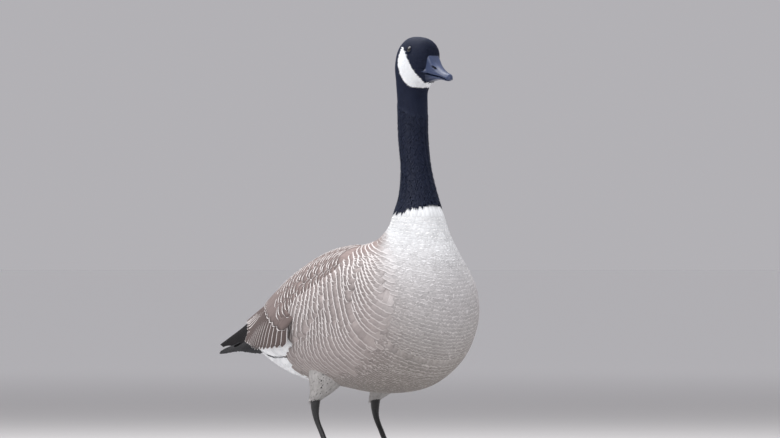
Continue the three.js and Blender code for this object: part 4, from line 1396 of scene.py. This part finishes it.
# The wing's tiers of long feathers: how many, their roots and tips as (along, across) from the upper to the
# lower end of the tier, their widths there, how high the lowest lies and how much higher each next one up.
PRIMARIES = {"count": 9, "root": ((0.64, 0.56), (0.2, 0.7)), "tip": ((1.05, 0.95), (0.42, 0.8)),
             "width": (22, 18), "rise": -0.4, "layer": 0.2}
SECONDARIES = {"count": 14, "root": ((0.6, 0.3), (0.3, 0.75)), "tip": ((0.77, 0.36), (0.9, 1.42)),
               "width": (28, 26), "rise": 0.4, "layer": 0.2}
TERTIALS = {"count": 8, "root": ((0.5, 0.4), (0.05, 0.5)), "tip": ((0.86, 0.76), (0.06, 0.84)),
            "width": (36, 28), "rise": 1.6, "layer": 0.25}
GREATER_COVERTS = {"count": 9, "root": ((0.38, 0.24), (0.3, 0.95)), "tip": ((0.64, 0.37), (0.4, 1.16)),
                   "width": (44, 34), "rise": 1.2, "layer": 0.35}
# The fields of short feathers: from and to are how far along the wing their rows start and end, at the
# field's upper and lower side; width and gap are those of the first and the last row.
LESSER_COVERTS = {"from": (0.02, 0.02), "to": (0.42, 0.31), "across": (0.42, 1.0), "width": (32, 42),
                  "gap": (8, 11), "rise": 1.8, "dark": 0.75}
SCAPULARS = {"from": (0.015, 0.02), "to": (0.6, 0.5), "across": (0.0, 0.48), "width": (36, 60),
             "gap": (8.5, 12), "rise": 2.4, "dark": 0.85}


class GOOSE_OT_wings(bpy.types.Operator):
    """Both folded wings: primaries, secondaries, tertials, coverts and the scapulars over them"""

    bl_idname = "goose.wings"
    bl_label = "Wings"

    def execute(self, context):
        form, colors = context.scene.goose_form, context.scene.goose_colors
        self.long_vane = Vane("flight feather", 8, 20, 0.86, 0.05, root=0.4, tip=0.4)
        self.broad_vane = Vane("covert feather", 8, 10, 0.7, 0.09, root=0.5, tip=0.5)
        covering = feather_material("Wing covert feathers", fringe=0.0019, band=0.55, roughness=0.72,
                                    sheen=0.05, shaft=0.12, side_fade=0.15)
        flight = feather_material("Flight feathers", fringe=0.0015, band=0.2, roughness=0.65, sheen=0.0,
                                  shaft=0.3, specular=0.1, side_fade=0.0)
        for side, sign in SIDES:
            quills = Coat(f"flight_feathers_{side}", form.seed + 10 + sign)
            self.quill_tiers(quills, sign > 0, colors)
            finish_piece(quills.join(), flight, "plumage_dark", f"wing_{side}")
            cover = Coat(f"covert_feathers_{side}", form.seed + 20 + sign)
            self.coverts(cover, sign > 0, colors)
            finish_piece(cover.join(), covering, "plumage_brown")
        return {"FINISHED"}

    def tier(self, piece, vane, mirror, tier, colours, **style):
        """Long feathers side by side, from the upper edge of the wing to the lower, each a little over the
        next one down."""
        share = np.linspace(0, 1, tier["count"])
        mix = lambda pair: pair[0] + (pair[1] - pair[0]) * share
        root, tip = [mix(pair) for pair in tier["root"]], [mix(pair) for pair in tier["tip"]]
        shafts = reach(wing, vane.levels, root, tip)
        rise = tier["rise"] + (tier["count"] - 1 - np.arange(tier["count"])) * tier["layer"]
        piece.lay(wing, vane, shafts, mix(tier["width"]), colours, (root[1] * 0.96 + 0.02, root[0]),
                  rise=rise, mirror=mirror, sink=1.5, crest=0.02, **style)

    def quill_tiers(self, quills, mirror, colors):
        dark, brown, pale = linear(colors.dark), linear(colors.back), linear(colors.pale_edge)
        for tier, colours, roll in (
            (PRIMARIES, (dark, dark * 1.3), 0.0),
            (SECONDARIES, (brown * 0.4, pale * 0.85), -0.03),
            (TERTIALS, (brown * 0.46, pale), -0.03),
        ):
            self.tier(quills, self.long_vane, mirror, tier, colours, roll=roll, power=0.55, ragged=0.004)

    def coverts(self, cover, mirror, colors):
        brown, pale = linear(colors.back), linear(colors.pale_edge)
        self.tier(cover, self.broad_vane, mirror, GREATER_COVERTS, (brown * 0.6, pale), power=0.6,
                  ragged=0.01)
        for field in (LESSER_COVERTS, SCAPULARS):
            a, b, length, width = self.field_places(field)
            a = a + cover.random.normal(0, 0.0012, len(a))
            length = length * cover.jitter(len(a), 0.02)
            shafts = walk(wing, self.broad_vane.levels, a, b, length, 0.12 + 0.1 * b)
            cover.lay(wing, self.broad_vane, shafts, width, (brown * field["dark"], pale),
                      (b * 0.96 + 0.02, a), rise=field["rise"], sink=1.0, crest=0.02, roll=0.01,
                      mirror=mirror, ragged=0.012, power=0.7)

    def field_places(self, field):
        """Staggered rows of roots: how far along and across the wing, the feather's length and its width."""
        places = []
        share, number = 0.0, 0
        starts, stops, across = field["from"], field["to"], field["across"]
        field_length = (stops[0] - starts[0]) * wing.rail.length
        while share <= 1:
            ends = [start + (stop - start) * share for start, stop in zip(starts, stops)]
            width, gap = (low + (high - low) * share for low, high in (field["width"], field["gap"]))
            ladder = wing.at(np.full(40, sum(ends) / 2), np.linspace(*across, 40))
            room = np.linalg.norm(np.diff(ladder, axis=0), axis=-1).sum()
            count = max(round(room / (width * 0.8)), 2)
            for spot in (np.arange(count) + (0.4 if number % 2 else 0.58)) / count:
                along = ends[0] + (ends[1] - ends[0]) * spot
                places.append((along, across[0] + (across[1] - across[0]) * spot, gap * 2.5 + 6, width))
            share += gap / field_length
            number += 1
        return np.array(places).T


class TailPlane:
    """The sloping face that one tail feather lies in: a distance back along it and one out from its shaft."""

    step = (0.5, 0.5)
    outward = -1

    def __init__(self, side):
        self.side = side

    def at(self, back, out):
        droop, turn = math.radians(TAIL["droop"]), math.radians(TAIL["fan"]) * self.side
        forward = np.cos(turn) * back - np.sin(turn) * out
        y = self.side * TAIL["half"] + np.sin(turn) * back + np.cos(turn) * out
        roof = TAIL["roof"] * (1 - 0.85 * smoothstep(0, TAIL["flat_by"], forward))
        drop = roof * np.sqrt(y * y + 16) + TAIL["sag"] * forward ** 2
        high = 3.4 - 4.6 * abs(self.side)
        down = math.sin(droop) * forward + drop - high
        return np.stack([TAIL["root"][0] - math.cos(droop) * forward, y, TAIL["root"][1] - down], -1)


class GOOSE_OT_tail(bpy.types.Operator):
    """The tail's fan of dark feathers"""

    bl_idname = "goose.tail"
    bl_label = "Tail"

    def execute(self, context):
        vane = Vane("tail feather", 6, 12, 0.88, 0.03, root=0.55, tip=0.6)
        tail = Coat("tail_feathers", context.scene.goose_form.seed + 30)
        dark = linear(context.scene.goose_colors.tail)
        start = np.array([0.0])
        for side in np.linspace(-1, 1, TAIL["feathers"]):
            fan = TailPlane(side)
            length = TAIL["length"] * (1 - TAIL["taper"] * abs(side))
            spot = (np.array([0.5 + side * 0.45]), start + 0.5)
            shafts = walk(fan, vane.levels, start, start, length)
            tail.lay(fan, vane, shafts, TAIL["width"], (dark, dark * 1.4), spot, rise=0.0, sink=0.0,
                     crest=0.03, ragged=0.006)
        quill = feather_material("Tail feathers", fringe=0.0008, band=0.1, roughness=0.6, sheen=0.0,
                                 shaft=0.35, specular=0.12)
        finish_piece(tail.join(), quill, "plumage_dark", "tail")
        return {"FINISHED"}


# The eye's rings by their distance from its middle, in metres: each edge from where to where it changes.
PUPIL_EDGE, IRIS_EDGE = (0.0026, 0.003), (0.0046, 0.0052)
CORNEA = {"high": 0.0005, "wide": 0.0042}
BEHIND_IRIS = 0.006


class GOOSE_OT_eyes(bpy.types.Operator):
    """Both eyes, dark brown round a black pupil under a clear wet front"""

    bl_idname = "goose.eyes"
    bl_label = "Eyes"

    def execute(self, context):
        material, g, shader = new_material("Wet dark eye", roughness=0.06, coat_weight=0.3,
                                           coat_roughness=0.02)
        from_pupil = g.attribute("from_pupil", "Fac")
        fibres = g.times_plus(g.noise(g.object_place(), 1500.0, 2.0), 0.8, 0.6)
        iris = g.tinted((*linear(context.scene.goose_colors.eye), 1), fibres)
        ball = g.mix(g.ramp(from_pupil, *PUPIL_EDGE), (0.002, 0.002, 0.002, 1), iris)
        g.feed(shader["Base Color"], g.mix(g.ramp(from_pupil, *IRIS_EDGE), ball, (0.01, 0.008, 0.008, 1)))
        for side, sign in SIDES:
            clear_selection()
            bpy.ops.mesh.primitive_uv_sphere_add(segments=48, ring_count=32, radius=EYE["radius"] * MM)
            eye = bpy.context.object
            eye.name = f"eyeball_{side}"
            points = np.array([v.co for v in eye.data.vertices])
            out = np.hypot(points[:, 0], points[:, 1])
            front = points[:, 2] > 0
            points[:, 2] += np.where(front, CORNEA["high"] * smoothstep(CORNEA["wide"], 0.0, out), 0)
            eye.data.vertices.foreach_set("co", points.astype(np.float32).ravel())
            away = np.where(front, out, BEHIND_IRIS).astype(np.float32)
            eye.data.attributes.new("from_pupil", "FLOAT", "POINT").data.foreach_set("value", away)
            place_on_head(eye, sign, EYE["inset"])
            bpy.ops.object.shade_smooth()
            finish_piece(eye, material, "eye", f"eye_{side}")
        return {"FINISHED"}


class GOOSE_OT_bill(bpy.types.Operator):
    """The bill's two halves, with slit nostrils, the nail at the tip and the combed edge of the mouth"""

    bl_idname = "goose.bill"
    bl_label = "Bill"

    def execute(self, context):
        color = linear(context.scene.goose_colors.bill)
        # Slate blue horn: partly the bill's dark horn, partly painted blue sheen of the sky.
        horn = horn_material("Slate bill horn", color, color * 1.7, 900.0, 0.12, 0.25, 0.00012, painted_shade=True)
        for name, outline, shape in (
            ("upper", UPPER_BILL_OUTLINE, self.shape_upper),
            ("lower", LOWER_BILL_OUTLINE, self.shape_lower),
        ):
            finish_piece(self.half(f"bill_horn_{name}", outline, shape), horn, "bill", f"bill_{name}")
        return {"FINISHED"}

    def half(self, name, outline, shape):
        bill = Body(outline)
        s, angle = round_grid(bill.length * (1 - (1 - np.linspace(0, 1, 90)) ** 1.15), 104)
        points, dark = shape(s, angle, bill.plain(s, angle))
        piece = loft(name, turned(self.with_gape(points)))
        # The darkening is painted shade, in the nostrils and at the root of the lower bill.
        write_marks(piece.data, 1 - dark.reshape(-1, 1))
        make_active(piece)
        bpy.ops.object.shade_smooth_by_angle(angle=math.radians(60))
        return piece

    def with_gape(self, points):
        """The corner of the mouth, drawn out and back over the cheek."""
        x, y, z = points[..., 0], points[..., 1], points[..., 2]
        near = smoothstep(GAPE["high"], 0.5, np.abs(z - GAPE["z"]))
        share = smoothstep(GAPE["x"], GAPE["x"] - 6, x) * near * smoothstep(6, 12, np.abs(y))
        return np.stack([x - GAPE["back"] * share, y + np.sign(y) * GAPE["out"] * share, z], -1)

    def shape_upper(self, s, angle, points):
        x, y, z = points[..., 0], points[..., 1], points[..., 2]
        side = smoothstep(1.5, 4, np.abs(y))
        sin, cos = math.sin(NOSTRIL["slope"]), math.cos(NOSTRIL["slope"])
        dx, dz = x - NOSTRIL["x"], z - NOSTRIL["z"]
        long = (dx * cos - dz * sin) / NOSTRIL["long"]
        high = (dx * sin + dz * cos) / NOSTRIL["high"]
        far = np.hypot(long, high)
        pit = smoothstep(1.1, 0.55, far) * side
        dish = NOSTRIL["dish"] * smoothstep(2.4, 0.8, np.hypot(long * 1.2, high * 0.42)) * side
        rim = NOSTRIL["rim"] * np.exp(-((far - 1.25) / 0.22) ** 2) * side
        y = y - np.sign(y) * (NOSTRIL["deep"] * pit + dish - rim)
        nail = np.hypot((x - NAIL["x"]) / NAIL["long"], y / NAIL["wide"])
        groove = NAIL["groove"] * np.exp(-((nail - 1.12) / 0.1) ** 2)
        z = z + (NAIL["high"] * smoothstep(1.05, 0.85, nail) - groove) * (z > NAIL["above"])
        bend = bend_share(angle)
        edge = smoothstep(0.66, 0.78, bend) * (1 - smoothstep(0.8, 0.9, bend))
        comb = COMB["high"] * np.sin(s * math.tau / COMB["apart"]) * edge
        comb = comb * smoothstep(4, 12, s) * smoothstep(50, 40, s)
        # The nostril's inside is darkened nearly to black as painted shade in the slit.
        return np.stack([x, y + np.sign(y) * comb, z], -1), pit * 0.97

    def shape_lower(self, s, angle, points):
        x, y, z = points[..., 0], points[..., 1], points[..., 2]
        groove = 0.5 * smoothstep(0.5, 0.0, np.abs(y) / 4.0) * smoothstep(0.7, 0.95, bend_share(angle))
        # The lower bill darkens within 24 mm of its root, as painted shade under the upper bill.
        dark = 0.55 * smoothstep(24, 4, s)
        return np.stack([x, y, z + groove * smoothstep(6, 20, s)], -1), dark


# The toes' and claws' radius at the root, the share they lose towards the tip, and the web's form.
TOE = {"radius": 5.0, "taper": 0.34, "knuckle": 0.13, "arch": 2.6}
HIND_TOE = {"at": (-0.004, 0.003, 0.006), "turn": 150, "dip": -14, "length": 13.0, "slim": 0.75}
WEB = {"from": 0.1, "reach": 0.93, "hollow": 0.2, "high": 1.7, "arch": 3.2, "ridge": 0.8, "fold": 0.25,
       "thick": 1.3}
CLAW = {"radius": 2.5, "length": 10.5, "overlap": 1.2, "high": 3.3, "drop": 2.6}
PAD = {"radius": 0.007, "high": 0.0064}
GROUND = 0.0007


class GOOSE_OT_legs(bpy.types.Operator):
    """The scaly shanks, the webbed feet and their claws"""

    bl_idname = "goose.legs"
    bl_label = "Legs and feet"

    def execute(self, context):
        color = linear(context.scene.goose_colors.leg)
        hide = horn_material("Scaly leg skin", color, color * 2.0, 420.0, 0.75, 0.1, 0.0005)
        horn = horn_material("Claw horn", color * 0.8, color * 1.8, 900.0, 0.1, 0.4)
        for side, sign in SIDES:
            ahead = LEG_STAGGER * sign
            finish_piece(self.shank(side, sign, ahead), hide, "leg", f"shank_{side}")
            finish_piece(self.foot(side, sign, ahead), hide, "leg", f"foot_{side}")
            for toe in TOES:
                label = f"{toe['name']}_{side}"
                finish_piece(self.claw(f"claw_horn_{label}", sign, ahead, toe), horn, "claw", f"claw_{label}")
        return {"FINISHED"}

    def shank(self, side, sign, ahead):
        """A flattened lower leg with a row of broad scutes down its front."""
        top_x, top_z, radius = ANKLE["x"], ANKLE["z"], ANKLE["radius"]
        ovals = [
            (top_x + 2, top_z + 8, 8.6, 6.8),
            (top_x, top_z - 2, radius * ANKLE["long"], radius * 0.9),
            (top_x + 1, top_z - 16, 6.4, 5),
            ((top_x + FOOT_X) / 2, top_z / 2, 5.4, 4.1),
            (FOOT_X - 1, 20, 5.8, 4.5),
            (FOOT_X + 1, 11.5, 6.8, 5.2),
        ]
        limb = Limb([(x + ahead, sign * LEG_APART, z, long, wide) for x, z, long, wide in ovals])
        s, angle = round_grid(np.linspace(0, limb.length, 150), 48)
        place, _, _, normal = surface_frame(limb, s, angle)
        front = smoothstep(0.55, 0.85, bend_share(angle))
        from_seam = np.abs(s / SCUTE["apart"] % 1.0 - 0.5) * 2
        scute = SCUTE["high"] * (1 - from_seam ** 4) * front
        cells = 0.2 * np.abs(np.sin(s * 1.9 + np.cos(angle * 7))) * np.abs(np.cos(angle * 7)) * (1 - front)
        return loft(f"shank_scales_{side}", place + normal * (scute + cells - 0.3)[..., None])

    def foot(self, side, sign, ahead):
        """Toes with swollen joints, the web between them and the small hind toe, melted into one skin."""
        parts = [self.toe(t["length"], t["joints"], Matrix.Rotation(t["angle"], 4, "Z")) for t in TOES]
        place = Matrix.Translation(HIND_TOE["at"]) @ Matrix.Rotation(math.radians(HIND_TOE["turn"]), 4, "Z")
        place = place @ Matrix.Rotation(math.radians(HIND_TOE["dip"]), 4, "Y")
        place = place @ Matrix.Diagonal((1, HIND_TOE["slim"], HIND_TOE["slim"], 1))
        parts.append(self.toe(HIND_TOE["length"], 1, place))
        parts.extend(self.web(first, second) for first, second in zip(TOES, TOES[1:]))
        clear_selection()
        bpy.ops.mesh.primitive_uv_sphere_add(segments=24, ring_count=14, radius=PAD["radius"],
                                             location=(0, 0, PAD["high"]))
        foot = bpy.context.object
        foot.name = f"foot_web_{side}"
        set_in_place(foot)
        for part in parts:
            cut_or_join(foot, part, "UNION")
        apply_modifier(foot, "REMESH", mode="VOXEL", voxel_size=0.00085)
        apply_modifier(foot, "SMOOTH", factor=0.5, iterations=3)
        points = np.array([v.co for v in foot.data.vertices], float)
        points[:, 2] = np.where(points[:, 2] < GROUND, 0.0, points[:, 2])
        foot.data.vertices.foreach_set("co", points.astype(np.float32).ravel())
        self.stand(foot, sign, ahead)
        return foot

    def stand(self, piece, sign, ahead):
        """Mirrors a right-foot piece for the left leg and sets it under its leg."""
        if sign > 0:
            piece.scale = (1, -1, 1)
        piece.location = Vector(in_frame((FOOT_X + 1 + ahead, sign * LEG_APART, 0)))
        set_in_place(piece)
        face_out(piece)
        bpy.ops.object.shade_smooth()

    def toe(self, length, joints, place):
        share, turn = round_grid(np.linspace(0, 1, joints * 10 + 1), 20)
        knuckle = 1 + TOE["knuckle"] * np.cos(share * joints * math.tau)
        radius = TOE["radius"] * (1 - TOE["taper"] * share) * knuckle
        middle = radius * 0.76 + TOE["arch"] * (1 - share) ** 2
        ridge = 1 + 0.05 * np.abs(np.sin(share * length * 0.9)) * (np.sin(turn) > 0.2)
        grid = np.stack([share * length, -np.cos(turn) * radius, np.sin(turn) * radius * ridge + middle], -1)
        grid[..., 2] = np.maximum(grid[..., 2], 0.05)
        return self.local_loft("toe", grid, place)

    def local_loft(self, name, grid, place):
        """A closed piece through a grid in millimetres of its own, then put in its place on the foot."""
        piece = new_piece(name, grid.reshape(-1, 3) * MM, ring_faces(*grid.shape[:2]))
        piece.matrix_world = place
        set_in_place(piece)
        face_out(piece)
        return piece

    def web(self, first, second):
        rows, columns = np.meshgrid(np.linspace(WEB["from"], 1, 22), np.linspace(0, 1, 25), indexing="ij")

        def along(toe):
            far = toe["length"] * WEB["reach"] * rows
            return np.stack([np.cos(toe["angle"]) * far, np.sin(toe["angle"]) * far], -1)

        flat = along(first) * (1 - columns[..., None]) + along(second) * columns[..., None]
        flat = flat * (1 - WEB["hollow"] * rows * np.sin(math.pi * columns))[..., None]
        fold = WEB["fold"] * np.sin(columns * math.pi * 7) * np.sin(math.pi * columns)
        high = WEB["high"] + WEB["arch"] * (1 - rows) ** 2 + WEB["ridge"] * np.abs(columns - 0.5) + fold
        lower, upper = (np.concatenate([flat, level[..., None]], -1) for level in (high, high + WEB["thick"]))
        return self.local_loft("web", np.concatenate([upper, lower[:, ::-1]], axis=1), Matrix.Identity(4))

    def claw(self, name, sign, ahead, toe):
        share, turn = round_grid(np.linspace(0, 1, 18), 20)
        radius = CLAW["radius"] * (1 - share) ** 0.7 + 0.2
        middle = CLAW["high"] - CLAW["drop"] * share ** 2
        along = toe["length"] - CLAW["overlap"] + share * CLAW["length"]
        grid = np.stack([along, -np.cos(turn) * radius * 0.9, np.sin(turn) * radius + middle], -1)
        grid[..., 2] = np.maximum(grid[..., 2], 0.02)
        piece = self.local_loft(name, grid, Matrix.Rotation(toe["angle"], 4, "Z"))
        self.stand(piece, sign, ahead)
        return piece


# The lamps' places from the floor under the goose, as steps towards the camera, to its right and up, and
# their width, all in metres. They are aimed at the middle of the goose.
LAMPS = {"key": ((1.6, -1.8, 2.6), 2.2), "top": ((-0.6, -0.2, 3.2), 3.0), "fill": ((3.0, 2.0, 1.4), 2.4)}
LAMP_AIM = 0.35
# The floor turns from its own colour to a paler one between these distances in metres.
FLOOR_FADE, FLOOR_FAR = (1.5, 14.0), (0.97, 0.97, 0.97, 1)
SENSOR_WIDTH, VIEW_END = 36, 1500


class GOOSE_OT_stage(bpy.types.Operator):
    """A pale floor, soft light from above and a long lens at the photograph's angle"""

    bl_idname = "goose.stage"
    bl_label = "Stage"

    def execute(self, context):
        stage = context.scene.goose_stage
        azimuth = math.radians(stage.azimuth)
        self.toward = Vector((math.sin(azimuth), -math.cos(azimuth), 0))
        self.right = Vector((math.cos(azimuth), math.sin(azimuth), 0))
        self.floor(stage)
        self.air(stage)
        for name, power in (("key", stage.key_power), ("top", stage.top_power), ("fill", stage.fill_power)):
            self.lamp(name, power)
        self.camera(stage)
        context.scene.view_settings.view_transform = "Standard"
        return {"FINISHED"}

    def floor(self, stage):
        clear_selection()
        bpy.ops.mesh.primitive_circle_add(vertices=96, radius=stage.floor_radius, fill_type="NGON")
        floor = bpy.context.object
        floor.name = "floor"
        material, g, shader = new_material("Pale floor", roughness=0.9, specular_ior_level=0.1)
        tint = linear(stage.floor_color)
        near = g.mix(g.noise(g.object_place(), 3.0, 3.0), (*tint * 0.97, 1), (*tint, 1))
        away = g.node("ShaderNodeVectorMath", operation="LENGTH")
        g.feed(away.inputs[0], g.object_place())
        g.feed(shader["Base Color"], g.mix(g.ramp(away.outputs["Value"], *FLOOR_FADE), near, FLOOR_FAR))
        floor.data.materials.append(material)
        floor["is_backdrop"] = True

    def air(self, stage):
        world = bpy.data.worlds.new("Studio air")
        bpy.context.scene.world = world
        world.use_nodes = True
        background = world.node_tree.nodes["Background"]
        background.inputs["Color"].default_value = (*linear(stage.air_color), 1)
        background.inputs["Strength"].default_value = stage.air_strength

    def lamp(self, name, power):
        (toward, right, up), size = LAMPS[name]
        data = bpy.data.lights.new(name, "AREA")
        data.shape = "DISK"
        data.size = size
        data.energy = power
        place = self.toward * toward + self.right * right + Vector((0, 0, up))
        lamp = self.aimed(data, place, Vector((0, 0, LAMP_AIM)))
        lamp.visible_camera = False

    def camera(self, stage):
        """Looks along the photograph's line of sight, aimed at the middle of the picture, with no shift."""
        beside = Vector(in_frame((0, 0, 0))) + self.right * stage.aim_right
        data = bpy.data.cameras.new("camera")
        data.sensor_width = SENSOR_WIDTH
        data.lens = stage.lens
        data.clip_end = VIEW_END
        eye = beside + self.toward * stage.distance + Vector((0, 0, stage.eye_height))
        bpy.context.scene.camera = self.aimed(data, eye, beside + Vector((0, 0, stage.aim_height)))

    def aimed(self, data, place, aim):
        """Puts a lamp or a camera in the scene, turned towards a point."""
        piece = in_scene(data)
        piece.location = place
        piece.rotation_euler = (aim - place).to_track_quat("-Z", "Y").to_euler()
        return piece


def number_property(name, description, default, unit="NONE"):
    return bpy.props.FloatProperty(name=name, description=description, default=default, unit=unit)


def size_property(name, description, default):
    return number_property(name, description, default, "LENGTH")


def color_property(name, description, default):
    return bpy.props.FloatVectorProperty(name=name, description=description, default=default, subtype="COLOR",
                                         min=0, max=1)


class GooseForm(bpy.types.PropertyGroup):
    """Sizes of the coat"""

    seed: bpy.props.IntProperty(name="Seed", description="Start of every random draw", default=7)
    coat_depth: size_property("Coat depth", "How far the skin lies under the coat", 0.003)
    head_row: size_property("Head rows", "Spacing of the head's rows of feathers", 0.0016)
    neck_row: size_property("Neck rows", "Spacing of the neck's rows of feathers", 0.0032)
    breast_row: size_property("Breast rows", "Spacing of the breast's rows of feathers", 0.0055)
    flank_row: size_property("Flank rows", "Spacing of the flank's rows of feathers", 0.011)


class GooseColors(bpy.types.PropertyGroup):
    """Colours of the coat and bare parts"""

    # Black with a strong blue cast: the blue is painted reflection of the sky on the head and neck.
    black: color_property("Black", "Head and neck", (0.0035, 0.008, 0.028))
    white: color_property("White", "Cheek band, vent and rump", (0.96, 0.98, 1.0))
    cream: color_property("Cream", "Breast", (0.67, 0.65, 0.655))
    brown: color_property("Brown", "Flanks", (0.40, 0.35, 0.34))
    back: color_property("Back brown", "Mantle and wings", (0.33, 0.255, 0.24))
    # The belly's grey-brown is partly its own tone and partly painted shade under the body.
    belly: color_property("Belly", "Belly and thighs", (0.34, 0.31, 0.285))
    pale_edge: color_property("Pale edge", "Fringes of the brown feathers", (0.76, 0.72, 0.71))
    dark: color_property("Dark", "Wing quills", (0.012, 0.011, 0.012))
    tail: color_property("Tail", "Tail feathers", (0.035, 0.036, 0.04))
    # The bill's blue is partly painted sheen of the sky on its dark horn.
    bill: color_property("Bill", "Horn of the bill", (0.030, 0.048, 0.115))
    leg: color_property("Leg", "Skin of the legs and feet", (0.018, 0.018, 0.02))
    eye: color_property("Eye", "Iris", (0.006, 0.004, 0.004))


class GooseStage(bpy.types.PropertyGroup):
    """Floor, light and camera"""

    azimuth: number_property("Azimuth", "Side the camera stands on, in degrees", 50)
    distance: size_property("Distance", "From the neck", 14.0)
    eye_height: size_property("Lens height", "Over the floor", 0.3212)
    aim_height: size_property("Aim height", "Over the floor", 0.3986)
    aim_right: size_property("Aim right", "From the neck", -0.0465)
    lens: number_property("Lens", "Focal length in millimetres", 400.6)
    floor_radius: size_property("Floor radius", "Of the round floor", 900)
    floor_color: color_property("Floor", "Pale floor round the goose", (0.58, 0.57, 0.57))
    air_color: color_property("Air", "Light all round", (0.80, 0.785, 0.825))
    air_strength: number_property("Air light", "Strength of the light all round", 0.56)
    key_power: number_property("Key light", "In watts", 60)
    top_power: number_property("Top light", "In watts", 105)
    fill_power: number_property("Fill light", "In watts", 24)


BUILD_ORDER = (
    GOOSE_OT_skin,
    GOOSE_OT_head_coat,
    GOOSE_OT_body_coat,
    GOOSE_OT_wings,
    GOOSE_OT_tail,
    GOOSE_OT_eyes,
    GOOSE_OT_bill,
    GOOSE_OT_legs,
    GOOSE_OT_stage,
)


class GOOSE_PT_panel(bpy.types.Panel):
    """Builds the goose, piece by piece"""

    bl_label = "Goose"
    bl_idname = "GOOSE_PT_panel"
    bl_space_type = "VIEW_3D"
    bl_region_type = "UI"
    bl_category = "Goose"

    def draw(self, context):
        for group in (context.scene.goose_form, context.scene.goose_colors, context.scene.goose_stage):
            for name in group.__annotations__:
                self.layout.prop(group, name)
        for operator in BUILD_ORDER:
            self.layout.operator(operator.bl_idname)


CLASSES = (GooseForm, GooseColors, GooseStage, *BUILD_ORDER, GOOSE_PT_panel)


def register():
    for cls in CLASSES:
        bpy.utils.register_class(cls)
    bpy.types.Scene.goose_form = bpy.props.PointerProperty(type=GooseForm)
    bpy.types.Scene.goose_colors = bpy.props.PointerProperty(type=GooseColors)
    bpy.types.Scene.goose_stage = bpy.props.PointerProperty(type=GooseStage)


def unregister():
    del bpy.types.Scene.goose_stage
    del bpy.types.Scene.goose_colors
    del bpy.types.Scene.goose_form
    for cls in reversed(CLASSES):
        bpy.utils.unregister_class(cls)


def write_sizes():
    corners = lambda box: [list(corner) for corner in box]
    {"cad": corners(CAD_BOX), "visual": corners(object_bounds())}


def main():
    register()
    bpy.ops.goose.skin()
    bpy.ops.goose.head_coat()
    bpy.ops.goose.body_coat()
    bpy.ops.goose.wings()
    bpy.ops.goose.tail()
    bpy.ops.goose.eyes()
    bpy.ops.goose.bill()
    bpy.ops.goose.legs()
    bpy.ops.goose.stage()
    write_sizes()


if __name__ == "__main__":
    main()
